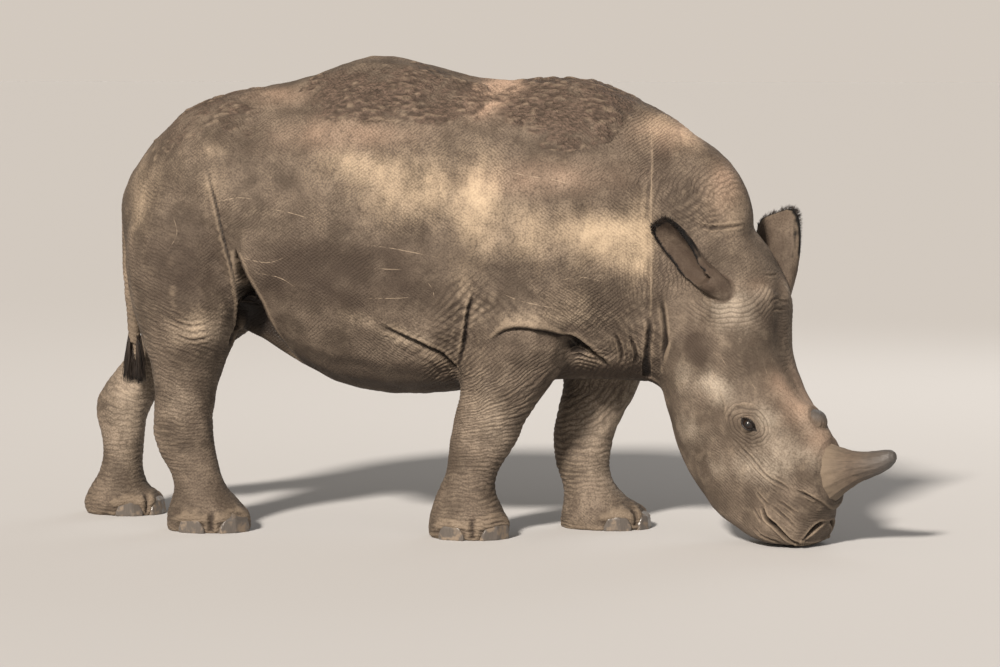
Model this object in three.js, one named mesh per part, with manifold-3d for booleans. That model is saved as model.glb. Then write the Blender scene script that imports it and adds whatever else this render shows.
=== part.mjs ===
// A young white rhinoceros standing with its head down to graze, life size, with one solid for each named
// part of its body. Millimetres: +X runs from tail to head, +Y to the animal's left and +Z up.
import * as THREE from 'three';
import { mergeVertices } from 'three/addons/utils/BufferGeometryUtils.js';
import Module from 'manifold-3d';

const wasm = await Module();
wasm.setup();

// ---- Driving sizes ----
const SEAM = 0.35; // the cut between two neighbouring parts
const BODY_SIDES = 24; // facets round the trunk, neck and head
const LEG_SIDES = 14;
const SMALL_SIDES = 12;
const SHARPEST = 0.2; // the least cosine between a corner and its faces that an offset allows for
const NECK_ROOT = 552; // the trunk ends and the neck starts at this level of X
const HEAD_YAW = -22; // degrees: the face is turned to the animal's right
const HEAD_TILT = 14; // degrees: the muzzle is this far forward of straight down
const HEAD_ROOT = [760, -62, 800]; // the middle of the skull's back
const EYE_RADIUS = 25;
const EYE_PLACE = [116, 148, -441]; // eye, ear and horn places are in the head's own frame
const RIGHT_EAR = { root: [112, -198, 32], tip: [48, -306, 246], opensBack: 16 }; // opensBack is in degrees
const LEFT_EAR = { root: [160, 188, 10], tip: [134, 292, 226], opensBack: 4 };
const EAR_WALL = 8;
const NAIL_PROUD = 5; // how far a toenail stands out of the foot
const NAIL_DEPTH = 9; // and how deep it sits in it
const TOES = [
  { side: 'right', turn: -76, width: 94, height: 56 }, // turn is in degrees from the middle toe
  { side: 'middle', turn: 0, width: 114, height: 72 },
  { side: 'left', turn: 76, width: 94, height: 56 },
];
const RIGHT_FEET = { turn: -28, back: 35 }; // degrees that the toes point to the left, and mm that they sit back
const LEFT_FEET = { turn: -4, back: 0 };

// ---- Sections: the outline of the hide across a part ----
// A section runs from its first point to its second, such as from back to belly or from shin to heel. half is
// its half width and waist says how far from the middle the widest level is, from -1 to 1. square says how
// boxy the first end is, with 2 for an ellipse, and squareEnd does so for the second end.
function section([fromX, fromZ], [toX, toZ], y, half, { waist = 0, square = 2.1, squareEnd = square } = {}) {
  return { fromX, fromZ, toX, toZ, y, half, waist, square, squareEnd };
}
const upright = (x, top, bottom, half, shape) => section([x, top], [x, bottom], 0, half, shape);
const level = (z, front, back, y, half, shape) => section([front, z], [back, z], y, half, shape);

function outline(s, turn) {
  const [across, along] = [Math.cos(turn), Math.sin(turn)];
  const power = 2 / (along > 0 ? s.square : s.squareEnd);
  const reach = along > 0 ? 1 - s.waist : 1 + s.waist;
  const rise = s.waist + reach * Math.sign(along) * Math.abs(along) ** power; // 1 at the first point, -1 at the second
  return new THREE.Vector3(
    (s.fromX + s.toX) / 2 + rise * (s.fromX - s.toX) / 2,
    s.y + s.half * Math.sign(across) * Math.abs(across) ** power,
    (s.fromZ + s.toZ) / 2 + rise * (s.fromZ - s.toZ) / 2,
  );
}

// A closed surface through the sections, with smooth curves between them and a flat cap over each end.
function loft(sections, rings, sides) {
  const fields = Object.keys(sections[0]);
  const values = sections.flatMap((s) => fields.map((field) => s[field]));
  const curve = new THREE.CubicInterpolant(sections.map((_, i) => i), values, fields.length);
  const points = [];
  for (let i = 0; i <= rings; i++) {
    const found = curve.evaluate((i / rings) * (sections.length - 1));
    const s = Object.fromEntries(fields.map((field, k) => [field, found[k]]));
    for (let k = 0; k < sides; k++) points.push(outline(s, (2 * Math.PI * k) / sides));
  }
  return facingOut(new THREE.BufferGeometry().setFromPoints(points).setIndex(tubeFaces(rings, sides)));
}

// The faces between rings of points, and a strip of flat faces over the first ring and over the last.
function tubeFaces(rings, sides) {
  const faces = [];
  for (let i = 0; i < rings; i++) {
    for (let k = 0; k < sides; k++) {
      const next = (k + 1) % sides;
      const [a, b, c, d] = [i * sides + k, i * sides + next, (i + 1) * sides + next, (i + 1) * sides + k];
      faces.push(a, b, c, a, c, d);
    }
  }
  const last = rings * sides;
  for (let k = 1; k < sides - 1; k++) {
    faces.push(0, k + 1, k, last, last + k, last + k + 1);
  }
  return faces;
}

function facingOut(geometry) {
  const { position } = geometry.attributes;
  const index = Array.from(geometry.index.array);
  const corner = (i) => new THREE.Vector3().fromBufferAttribute(position, index[i]);
  let volume = 0;
  for (let i = 0; i < index.length; i += 3) volume += corner(i).dot(corner(i + 1).cross(corner(i + 2)));
  return volume > 0 ? geometry : geometry.setIndex(index.reverse());
}

// Bone and muscle under the hide: each swelling pushes the surface near it outwards, on both sides alike.
function swollen(geometry, swellings) {
  geometry.computeVertexNormals();
  const { position, normal } = geometry.attributes;
  for (let i = 0; i < position.count; i++) {
    const p = new THREE.Vector3().fromBufferAttribute(position, i);
    const n = new THREE.Vector3().fromBufferAttribute(normal, i);
    let push = 0;
    for (const { at: [x, y, z], radius, height } of swellings) {
      const centre = new THREE.Vector3(x, y * Math.sign(p.y), z);
      push += height * Math.exp(-p.distanceToSquared(centre) / radius ** 2);
    }
    p.addScaledVector(n, push);
    position.setXYZ(i, p.x, p.y, p.z);
  }
  return geometry;
}

// ---- Solids ----
function solid(geometry) {
  const bare = geometry.clone();
  bare.deleteAttribute('normal');
  bare.deleteAttribute('uv');
  const merged = mergeVertices(bare, 1e-3);
  return new wasm.Manifold(new wasm.Mesh({
    numProp: 3,
    vertProperties: new Float32Array(merged.attributes.position.array),
    triVerts: new Uint32Array(merged.index.array),
  }));
}

function geometryOf(body) {
  const { vertProperties, triVerts } = body.getMesh();
  return new THREE.BufferGeometry()
    .setAttribute('position', new THREE.BufferAttribute(vertProperties, 3))
    .setIndex(new THREE.BufferAttribute(triVerts, 1));
}

// The same solid with each face moved out by a distance, or in when the distance is negative: a corner goes
// as much further as its sharpness asks for.
function offset(body, distance) {
  const geometry = geometryOf(body);
  const { attributes: { position }, index } = geometry;
  const corner = (i) => new THREE.Vector3().fromBufferAttribute(position, i);
  const ways = Array.from({ length: position.count }, () => new THREE.Vector3());
  const faces = [];
  for (let i = 0; i < index.count; i += 3) {
    const at = [0, 1, 2].map((k) => index.getX(i + k));
    faces.push({ at, facing: new THREE.Triangle(...at.map(corner)).getNormal(new THREE.Vector3()) });
  }
  for (const { at, facing } of faces) at.forEach((v) => ways[v].add(facing));
  ways.forEach((way) => way.normalize());
  const bluntness = ways.map(() => 1);
  for (const { at, facing } of faces) {
    for (const v of at) bluntness[v] = Math.min(bluntness[v], Math.max(SHARPEST, facing.dot(ways[v])));
  }
  for (let i = 0; i < position.count; i++) {
    const p = corner(i).addScaledVector(ways[i], distance / bluntness[i]);
    position.setXYZ(i, p.x, p.y, p.z);
  }
  return solid(geometry);
}

const without = (body, ...others) => others.reduce((left, other) => left.subtract(offset(other, SEAM)), body);
const UP = [0, 0, 1];
const beyond = (body, direction, distance) => body.trimByPlane(direction, distance);

// ---- Trunk and neck: upright sections from the rump to the shoulder, which lean further and further forward
// along the neck ----
function bodyGeometry() {
  const barrel = { waist: -0.1, square: 1.95, squareEnd: 2.25 };
  const deep = { waist: 0.02, square: 1.9, squareEnd: 2.2 };
  return swollen(loft([
    upright(-1268, 1100, 1010, 50),
    upright(-1252, 1150, 950, 120),
    upright(-1215, 1218, 860, 200),
    upright(-1150, 1302, 780, 268),
    upright(-1050, 1398, 720, 318),
    upright(-930, 1450, 690, 350),
    upright(-790, 1478, 640, 372, barrel),
    upright(-650, 1506, 560, 390, barrel),
    upright(-520, 1552, 492, 406, barrel),
    upright(-395, 1585, 462, 414, barrel),
    upright(-250, 1566, 452, 414, barrel),
    upright(-100, 1524, 470, 402, barrel),
    upright(50, 1502, 492, 380, barrel),
    upright(190, 1511, 508, 354, barrel),
    upright(320, 1508, 514, 332, barrel),
    section([430, 1471], [420, 512], 0, 304),
    section([525, 1426], [500, 506], 0, 282, deep),
    section([610, 1382], [558, 496], -5, 260, deep),
    section([690, 1325], [600, 488], -14, 240, deep),
    section([762, 1274], [622, 488], -24, 224, deep),
    section([826, 1210], [636, 493], -36, 210, deep),
    section([868, 1136], [652, 512], -48, 196, deep),
    section([886, 1055], [678, 560], -57, 180, deep),
    section([880, 1000], [705, 640], -62, 150, deep),
  ], 34, BODY_SIDES), [
    { at: [190, 340, 1130], radius: 250, height: 24 }, // shoulder blade
    { at: [150, 340, 760], radius: 190, height: 24 }, // upper arm
    { at: [-860, 330, 1250], radius: 150, height: 24 }, // hip bone
  ]);
}

// ---- Head ----
// The head and all on it are shaped hanging straight down, with the face towards +X, and then turned.
function turned(geometry) {
  const [tilt, yaw] = [HEAD_TILT, HEAD_YAW].map(THREE.MathUtils.degToRad);
  const turn = new THREE.Euler(0, -tilt, yaw, 'ZYX');
  return geometry.applyMatrix4(new THREE.Matrix4().makeRotationFromEuler(turn)).translate(...HEAD_ROOT);
}

// down is how far below the root a section lies, and face and throat are how far it reaches to each side.
const slice = (down, face, throat, half, shape) => section([face, -down], [-throat, -down], 0, half, shape);

function headGeometry() {
  const crown = { waist: 0.2, square: 2.7, squareEnd: 2.2 };
  const brow = { waist: 0.25, square: 2.8, squareEnd: 2.1 };
  const jaws = { waist: 0.12, square: 2.3, squareEnd: 1.9 };
  const lips = { square: 2.5, squareEnd: 2.3 };
  return turned(swollen(loft([
    slice(-212, 105, -20, 62, crown),
    slice(-192, 160, 60, 112, crown),
    slice(-135, 192, 140, 150, crown),
    slice(-50, 216, 195, 170, crown),
    slice(50, 242, 232, 178, brow),
    slice(150, 216, 250, 183, brow),
    slice(250, 197, 246, 184, brow),
    slice(350, 222, 242, 174, jaws),
    slice(450, 264, 240, 158, jaws),
    slice(540, 288, 222, 146, jaws),
    slice(620, 290, 188, 138, jaws),
    slice(690, 276, 144, 136, lips),
    section([250, -755], [-92, -738], 0, 138, lips),
    section([232, -808], [-46, -776], 0, 134, lips),
    section([206, -843], [-2, -806], 0, 118, lips),
    section([168, -853], [48, -826], 0, 84, lips),
  ], 21, BODY_SIDES), [
    { at: [150, 150, -400], radius: 80, height: 15 }, // rim of the eye socket
    { at: [-40, 180, -300], radius: 110, height: 14 }, // cheekbone
    { at: [-150, 130, -420], radius: 120, height: 8 }, // angle of the jaw
    { at: [150, 130, -760], radius: 70, height: 12 }, // upper lip and nostril
  ]));
}

function frontHornGeometry() {
  return turned(loft([
    section([250, -545], [250, -748], 0, 80),
    section([298, -546], [298, -738], 0, 80),
    section([340, -571], [340, -723], 0, 67),
    section([390, -595], [390, -711], 0, 55),
    section([446, -606], [446, -697], 0, 45),
    section([490, -610], [490, -681], 0, 35),
    section([518, -614], [518, -663], 0, 24),
    section([531, -624], [531, -648], 0, 11),
  ], 8, SMALL_SIDES));
}

function rearHornGeometry() {
  return turned(loft([
    section([230, -430], [230, -524], 0, 46),
    section([276, -434], [276, -516], 0, 41),
    section([298, -446], [298, -504], 0, 29),
    section([309, -462], [309, -490], 0, 13),
  ], 4, SMALL_SIDES));
}

const eyeGeometry = (side) => turned(new THREE.SphereGeometry(EYE_RADIUS, 10, 7)
  .translate(EYE_PLACE[0], side * EYE_PLACE[1], EYE_PLACE[2]));

// An ear is a trumpet open along its outer side, shaped standing up and open towards +X. The hollow is the
// same trumpet, smaller by the wall and pushed out through the opening.
function earSolid({ root, tip, opensBack }) {
  const ear = (height, front, back, half) => level(height, front, -back, 0, half, { waist: -0.15, square: 2 });
  const outer = [
    [-75, 8, 58, 32], [0, 36, 40, 44], [50, 38, 42, 62], [110, 32, 44, 79],
    [165, 22, 42, 85], [210, 12, 34, 80], [238, 4, 24, 66], [250, -2, 14, 48],
  ];
  const hollow = outer.slice(1).map(([height, front, back, half], i) => (
    ear(height + (i ? 6 : 12), front + 4 * EAR_WALL, back - EAR_WALL, half - EAR_WALL)));
  const trumpet = loft(outer.map((s) => ear(...s)), 8, SMALL_SIDES);
  const air = loft(hollow, 7, SMALL_SIDES);

  const base = new THREE.Vector3(...root);
  const axis = new THREE.Vector3(...tip).sub(base).normalize();
  const back = THREE.MathUtils.degToRad(opensBack);
  const outwards = new THREE.Vector3(-Math.sin(back), Math.sign(root[1]) * Math.cos(back), 0);
  const opening = outwards.addScaledVector(axis, -outwards.dot(axis)).normalize();
  const place = new THREE.Matrix4().makeBasis(opening, axis.clone().cross(opening), axis).setPosition(base);
  return solid(turned(trumpet.applyMatrix4(place))).subtract(solid(turned(air.applyMatrix4(place))));
}

// ---- Legs ----
const frontLegRight = [
  level(960, 250, 20, -150, 100),
  level(880, 320, -40, -190, 150),
  level(780, 335, -62, -208, 168),
  level(680, 318, -62, -214, 160),
  level(580, 294, -56, -212, 138),
  level(490, 228, -56, -205, 115),
  level(400, 160, -80, -198, 99),
  level(320, 127, -97, -195, 88),
  level(255, 84, -104, -195, 80),
  level(200, 53, -113, -196, 78),
  level(150, 52, -138, -198, 86),
  level(100, 74, -160, -200, 103),
  level(50, 100, -169, -202, 117),
  level(0, 102, -166, -202, 112),
];
const frontLegLeft = [
  level(960, 400, 140, 150, 100),
  level(880, 470, 110, 186, 150),
  level(780, 495, 125, 200, 164),
  level(680, 502, 160, 204, 152),
  level(580, 498, 196, 196, 134),
  level(490, 470, 212, 184, 114),
  level(400, 428, 194, 170, 99),
  level(320, 388, 180, 158, 88),
  level(255, 374, 184, 150, 80),
  level(200, 372, 196, 145, 78),
  level(150, 384, 218, 141, 84),
  level(105, 428, 226, 138, 99),
  level(50, 500, 214, 136, 114),
  level(0, 514, 210, 136, 110),
];
const hindLegRight = [
  level(1200, -880, -1060, -150, 90),
  level(1110, -815, -1160, -190, 145),
  level(1000, -795, -1203, -206, 172),
  level(880, -790, -1203, -212, 178),
  level(760, -800, -1184, -212, 170),
  level(650, -834, -1150, -210, 148),
  level(560, -874, -1122, -206, 122),
  level(470, -906, -1110, -202, 103),
  level(380, -918, -1114, -200, 90),
  level(320, -916, -1118, -200, 84),
  level(255, -906, -1098, -200, 76),
  level(195, -892, -1058, -200, 72),
  level(140, -868, -1042, -202, 82),
  level(90, -818, -1056, -204, 102),
  level(45, -786, -1070, -205, 115),
  level(0, -785, -1066, -205, 111),
];
const hindLegLeft = [
  level(1200, -880, -1060, 150, 90),
  level(1110, -815, -1160, 190, 145),
  level(1000, -795, -1206, 206, 172),
  level(880, -790, -1218, 212, 178),
  level(760, -800, -1240, 208, 166),
  level(660, -880, -1265, 204, 143),
  level(570, -1010, -1318, 198, 119),
  level(480, -1148, -1388, 190, 101),
  level(400, -1238, -1440, 184, 89),
  level(340, -1268, -1442, 180, 83),
  level(260, -1278, -1420, 176, 74),
  level(195, -1282, -1416, 174, 71),
  level(140, -1280, -1432, 174, 78),
  level(90, -1260, -1468, 176, 97),
  level(45, -1214, -1490, 178, 113),
  level(0, -1206, -1480, 178, 110),
];
const stifle = { at: [-930, 380, 700], radius: 110, height: 20 };
const elbow = { at: [-20, 330, 600], radius: 90, height: 12 };

// The leg runs on below the floor, to be cut level with it once its nails are made.
function legSolid(sections) {
  const sole = sections.at(-1);
  return solid(swollen(loft([...sections, { ...sole, fromZ: -120, toZ: -120 }], 16, LEG_SIDES), [stifle, elbow]));
}

// A broad nail on the front of the foot, cut out of a shell about the foot by an upright ellipse. The nail's
// socket is the same shape with some room.
function nail(leg, sole, foot, toe, room) {
  const shell = offset(leg, NAIL_PROUD + room).subtract(offset(leg, -NAIL_DEPTH - room));
  const ellipse = new THREE.CylinderGeometry(1, 1, 2 * sole.half, SMALL_SIDES)
    .rotateY(Math.PI / SMALL_SIDES)
    .rotateZ(Math.PI / 2)
    .scale(1, toe.width / 2 + room, toe.height + room)
    .translate(sole.half + 30, 0, 0)
    .rotateZ(THREE.MathUtils.degToRad(foot.turn + toe.turn))
    .translate(sole.fromX - sole.half - foot.back, sole.y, 0);
  return shell.intersect(solid(ellipse));
}

// ---- Tail ----
const tailSections = [
  level(1125, -1190, -1262, 0, 46),
  level(1060, -1212, -1284, 0, 42),
  level(980, -1226, -1286, -4, 35),
  level(880, -1234, -1282, -10, 28),
  level(780, -1234, -1276, -16, 23),
  level(690, -1228, -1266, -22, 20),
  level(612, -1222, -1258, -26, 18),
];
const tuftSections = [
  level(612 - SEAM, -1216, -1262, -26, 22),
  level(570, -1208, -1268, -27, 26),
  level(520, -1210, -1260, -28, 22),
  level(474, -1224, -1242, -30, 8),
];

// ---- Finishes ----
const finish = (color, roughness) => () => new THREE.MeshStandardMaterial({ color, roughness, metalness: 0 });
const hide = finish(0x84776a, 0.9);
const keratin = finish(0x6f655a, 0.6);
const nailKeratin = finish(0x5d5751, 0.5);
const wetEye = finish(0x120d0b, 0.15);
const blackHair = finish(0x1d1a18, 0.8);

// ---- Assembly ----
const torso = solid(bodyGeometry()).add(solid(headGeometry()));
const tail = solid(loft(tailSections, 9, SMALL_SIDES));

// The head leaves the neck on a plane from the crease behind the crown to the throat.
const crease = new THREE.Plane().setFromCoplanarPoints(
  new THREE.Vector3(884, -60, 1030), new THREE.Vector3(612, -60, 494), new THREE.Vector3(760, 240, 700));
const towardsHead = crease.normal.x > 0 ? crease.normal : crease.normal.clone().negate();
const creaseAt = towardsHead.dot(new THREE.Vector3(884, -60, 1030));
const afterTrunk = beyond(torso, [1, 0, 0], NECK_ROOT + SEAM);

const horns = { horn_front: solid(frontHornGeometry()), horn_rear: solid(rearHornGeometry()) };
const eyes = { eye_right: solid(eyeGeometry(-1)), eye_left: solid(eyeGeometry(1)) };
const ears = { ear_right: earSolid(RIGHT_EAR), ear_left: earSolid(LEFT_EAR) };
const legs = {
  front_right: frontLegRight, front_left: frontLegLeft, hind_right: hindLegRight, hind_left: hindLegLeft,
};

const headAlone = beyond(afterTrunk, towardsHead.toArray(), creaseAt);
const parts = [
  ['trunk', beyond(without(torso, tail), [-1, 0, 0], -NECK_ROOT), hide],
  ['neck', beyond(afterTrunk, towardsHead.clone().negate().toArray(), SEAM - creaseAt), hide],
  ['head', without(headAlone, ...Object.values(eyes)), hide],
  ['tail', tail, hide],
  ['tail_tuft', solid(loft(tuftSections, 5, SMALL_SIDES)), blackHair],
];
for (const [name, body] of Object.entries(ears)) parts.push([name, without(body, torso), hide]);
for (const [name, body] of Object.entries(horns)) parts.push([name, without(body, torso), keratin]);
for (const [name, body] of Object.entries(eyes)) parts.push([name, body, wetEye]);
for (const [name, sections] of Object.entries(legs)) {
  const leg = legSolid(sections);
  const foot = name.endsWith('right') ? RIGHT_FEET : LEFT_FEET;
  let flesh = leg;
  for (const toe of TOES) {
    const keratinNail = nail(leg, sections.at(-1), foot, toe, 0);
    parts.push([`nail_${name}_${toe.side}`, beyond(keratinNail, UP, 0), nailKeratin]);
    flesh = flesh.subtract(nail(leg, sections.at(-1), foot, toe, SEAM));
  }
  parts.push([`leg_${name}`, beyond(without(flesh, torso, tail), UP, 0), hide]);
}

const rhinoceros = new THREE.Group();
for (const [name, body, material] of parts) {
  const mesh = new THREE.Mesh(geometryOf(body), material());
  mesh.name = name;
  rhinoceros.add(mesh);
}

// The origin is on the floor, under the middle of the whole animal.
const box = new THREE.Box3().setFromObject(rhinoceros);
const middle = box.getCenter(new THREE.Vector3());
rhinoceros.position.set(-middle.x, -middle.y, -box.min.z);

export default rhinoceros;
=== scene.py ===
# %% [markdown]
# # A young white rhinoceros, life size
#
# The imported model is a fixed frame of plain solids: trunk, neck, head, legs, ears, horns, eyes and nails.
# This lesson lays one living skin over the flesh, and gives horn, nail, eye and hair their own finish.
# Lengths are in metres, with +X from tail to head, +Y to the animal's left and +Z up.

# %% Load the frame
import itertools
import math

import bmesh
import bpy
import numpy as np
from mathutils import Euler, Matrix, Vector
from mathutils.bvhtree import BVHTree


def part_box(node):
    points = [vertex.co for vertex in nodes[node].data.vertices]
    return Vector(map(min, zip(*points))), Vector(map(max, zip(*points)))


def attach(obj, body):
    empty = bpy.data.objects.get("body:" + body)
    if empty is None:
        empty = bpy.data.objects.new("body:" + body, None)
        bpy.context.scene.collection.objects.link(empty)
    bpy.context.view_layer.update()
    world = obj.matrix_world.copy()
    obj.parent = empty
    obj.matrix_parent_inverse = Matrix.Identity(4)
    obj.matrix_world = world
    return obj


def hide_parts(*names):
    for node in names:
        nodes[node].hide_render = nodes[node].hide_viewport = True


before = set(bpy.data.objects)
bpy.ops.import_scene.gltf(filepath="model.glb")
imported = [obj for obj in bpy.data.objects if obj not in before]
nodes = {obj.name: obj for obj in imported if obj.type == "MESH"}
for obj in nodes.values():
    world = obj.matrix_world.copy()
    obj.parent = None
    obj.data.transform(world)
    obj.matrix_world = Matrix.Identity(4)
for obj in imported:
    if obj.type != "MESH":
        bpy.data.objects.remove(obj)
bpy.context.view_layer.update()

legs = ["front_right", "front_left", "hind_right", "hind_left"]
toes = ["right", "middle", "left"]
MM = 0.001

# %% [markdown]
# ## Camera
#
# A long lens from far off keeps the proportions of a big animal true: a short one close by would make the
# near shoulder bulge. The camera stands at a person's eye level, a little ahead of the shoulder, and
# looks slightly down.

# %% Camera
EYE_LEVEL = 1.557
camera_data = bpy.data.cameras.new("camera")
camera_data.lens = 129.6
camera_data.sensor_width = 36.0
camera = bpy.data.objects.new("camera", camera_data)
camera.location = (2.573, -11.738, EYE_LEVEL)
camera.rotation_euler = (math.radians(85.72), 0.0, math.radians(12.0))
bpy.context.scene.collection.objects.link(camera)
bpy.context.scene.camera = camera
print("camera", round(camera.location.length, 1), "m from the middle of the animal's feet")

# %% [markdown]
# ## Mesh tools
#
# The frame's solids are faceted. A voxel remesh joins overlapping solids into one closed surface of even
# squares, and moving each point towards the mean of its neighbours melts the facets. Plain averaging
# shrinks a shape, so each step in is followed by a slightly longer step out, which is known as Taubin
# smoothing.

# %% Copies of the frame's solids
WELD = 0.02 * MM


def taken_from(work, name):
    """The mesh in a bmesh, which is freed."""
    mesh = bpy.data.meshes.new(name)
    work.to_mesh(mesh)
    work.free()
    return mesh


def merged_copy(names, grow=0.0):
    """One mesh of these nodes' solids, with every point moved out by grow."""
    joined = bmesh.new()
    for name in names:
        joined.from_mesh(nodes[name].data)
    bmesh.ops.remove_doubles(joined, verts=joined.verts, dist=WELD)
    joined.normal_update()
    for vertex in joined.verts:
        vertex.co += vertex.normal * grow
    return taken_from(joined, "copy")


def remeshed(mesh, voxel):
    """The mesh rebuilt as one closed surface of squares about a voxel wide."""
    holder = bpy.data.objects.new("holder", mesh)
    bpy.context.scene.collection.objects.link(holder)
    modifier = holder.modifiers.new("voxels", "REMESH")
    modifier.mode = "VOXEL"
    modifier.voxel_size = voxel
    graph = bpy.context.evaluated_depsgraph_get()
    rebuilt = bpy.data.meshes.new_from_object(holder.evaluated_get(graph))
    bpy.data.objects.remove(holder)
    return rebuilt


def corners(name):
    """The lowest and the highest corner of a node's box."""
    return [np.array(corner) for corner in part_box(name)]


print("the trunk has", len(nodes["trunk"].data.polygons), "facets")


# %% Points as arrays, and melting
def read(items, field, width, kind=np.float32):
    """One field of all the mesh's points or edges, as rows of an array."""
    flat = np.empty(len(items) * width, kind)
    items.foreach_get(field, flat)
    return flat.reshape(-1, width)


def points_of(mesh):
    return read(mesh.vertices, "co", 3).astype(float)


def normals_of(mesh):
    return read(mesh.vertex_normals, "vector", 3).astype(float)


def edges_of(mesh):
    return read(mesh.edges, "vertices", 2, np.int32)


def set_points(mesh, points):
    mesh.vertices.foreach_set("co", points.astype(np.float32).ravel())
    mesh.update()


def neighbour_mean(values, edges):
    """For each point, the mean of the values at the points it shares an edge with."""
    count = np.bincount(edges.ravel(), minlength=len(values))
    total = np.empty_like(values)
    for k in range(values.shape[1]):
        column = values[:, k]
        total[:, k] = np.bincount(edges[:, 0], column[edges[:, 1]], len(values))
        total[:, k] += np.bincount(edges[:, 1], column[edges[:, 0]], len(values))
    return total / np.maximum(count, 1)[:, None]


def melt(mesh, passes):
    """Smooths a mesh without shrinking it."""
    points, edges = points_of(mesh), edges_of(mesh)
    for _ in range(passes):
        points = points + 0.6 * (neighbour_mean(points, edges) - points)
        points = points - 0.62 * (neighbour_mean(points, edges) - points)
    set_points(mesh, points)
    return mesh


print("the trunk has", len(edges_of(nodes["trunk"].data)), "edges to melt")

# %% [markdown]
# ## The skin's base
#
# A rhinoceros's hide runs without a seam over trunk, neck, head, ears, legs and tail. The big masses are
# joined first on coarse voxels and melted hard, as their facets are a hand wide. The ears and the tail
# are too thin for that, so they are melted on fine voxels of their own. A last remesh joins them all, and
# everything after this moves the points of that one surface.

# %% The big masses and the thin parts
COARSE = 14 * MM
FINE = 4 * MM
OVERLAP = 1.5 * MM  # solids that nearly touch are grown by this much, so that they join

mass_names = ["trunk", "neck", "head", "eye_right", "eye_left"] + [f"leg_{leg}" for leg in legs]
thin_names = ["ear_right", "ear_left", "tail"]
masses = melt(remeshed(merged_copy(mass_names, OVERLAP), COARSE), 26)
thin = melt(remeshed(merged_copy(thin_names, OVERLAP), FINE), 8)
print("masses", len(masses.vertices), "points, thin parts", len(thin.vertices), "points")

# %% The tail's core, and one skin
SKIN = 5 * MM
CORE_DOWN = 75 * MM  # how far the tail's own skin goes on inside its brush
tuft_low, tuft_high = corners("tail_tuft")
core_middle = Vector(((tuft_low[0] + tuft_high[0]) / 2, (tuft_low[1] + tuft_high[1]) / 2, tuft_high[2]))

core = bmesh.new()
bmesh.ops.create_cone(core, cap_ends=True, segments=16, radius1=6 * MM, radius2=11 * MM, depth=CORE_DOWN)
bmesh.ops.translate(core, verts=core.verts, vec=core_middle - Vector((0, 0, 0.35 * CORE_DOWN)))
joined = bmesh.new()
for part in (masses, thin, taken_from(core, "core")):
    joined.from_mesh(part)
base = melt(remeshed(taken_from(joined, "base"), SKIN), 3)
print("skin base", len(base.vertices), "points")

# %% [markdown]
# ## The head's own frame
# The head hangs down and is turned to the animal's right, so its features are placed in a frame of its
# own: +X out of the face, +Y to its left and +Z up to the crown, in millimetres from the back of the
# skull. An empty object could hold that frame, but two short functions turn whole arrays of points at
# once. The left eye's centre in the imported model is printed in that frame. The eyes' centres in the
# imported model show that the frame is the right one.

# %% The head's frame
HEAD_ROOT = np.array([0.8107, -0.062, 0.800])
HEAD_YAW = math.radians(-22)
HEAD_TILT = math.radians(14)
EYE = np.array([116, 148, -441])  # mm, in the head's frame, on its left
EYE_RADIUS = 25
head_turn = np.array(Euler((0, -HEAD_TILT, HEAD_YAW)).to_matrix())


def to_head(points):
    return (points - HEAD_ROOT) @ head_turn / MM


def from_head(points):
    return np.asarray(points, float) * MM @ head_turn.T + HEAD_ROOT


def folded(local):
    """Points of the head's frame with its right half laid over its left, so that both are shaped alike."""
    return np.column_stack([local[:, 0], np.abs(local[:, 1]), local[:, 2]])


print("left eye in the head's frame", to_head(sum(corners("eye_left")) / 2).round(1))

# %% [markdown]
# ## Finer squares on the face
#
# Lids, nostrils and lips need squares of a millimetre or two, and a flank doesn't. Cutting only the
# squares near those features into smaller ones keeps the whole animal light enough to render and to
# export.

# %% Finer squares on the face
ROUND_THE_EYE = 62  # mm


def refined(mesh, wanted):
    """The mesh with each square whose corners are all wanted cut into four."""
    detail = bmesh.new()
    detail.from_mesh(mesh)
    detail.verts.ensure_lookup_table()
    for vertex, chosen in zip(detail.verts, wanted):
        vertex.select = bool(chosen)
    edges = [edge for edge in detail.edges if edge.verts[0].select and edge.verts[1].select]
    bmesh.ops.subdivide_edges(detail, edges=edges, cuts=1, use_grid_fill=True)
    detail.to_mesh(mesh)
    detail.free()
    return mesh


local = folded(to_head(points_of(base)))
face = ((local > (-150, -1, -950)) & (local < (420, 260, 70))).all(axis=1)
base = refined(base, face & (points_of(base)[:, 0] > 0.66))
local = folded(to_head(points_of(base)))
base = refined(base, np.linalg.norm(local - EYE, axis=1) < ROUND_THE_EYE)
melt(base, 1)
print("skin", len(base.vertices), "points,", len(base.polygons), "faces")

# %% [markdown]
# ## Sculpting
#
# A sculptor in clay presses and draws on a surface. Here each touch is a number added to the lift, which
# says how far every point of the skin moves along its normal. Such touches can be placed and changed one
# by one, which a painted displacement map can't, and smooth noise breaks up whatever would look too
# regular.

# %% The skin as arrays
points = points_of(base)
edges = edges_of(base)
normals = normals_of(base)
lift = np.zeros(len(points))
fold_shade = np.zeros(len(points))  # painted shade at the bottom of a fold, which is damp too


def settle():
    """Moves the skin by the lift and starts a new one."""
    points[:] = points + normals * lift[:, None]
    lift[:] = 0
    set_points(base, points)
    normals[:] = normals_of(base)


print("points to move", len(points))


# %% Profiles and noise
def bell(distance, width):
    return np.exp(-((distance / width) ** 2))


def ramp(value, start, end):
    """0 before start, 1 after end, and a smooth way between."""
    part = np.clip((value - start) / (end - start), 0, 1)
    return part * part * (3 - 2 * part)


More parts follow.
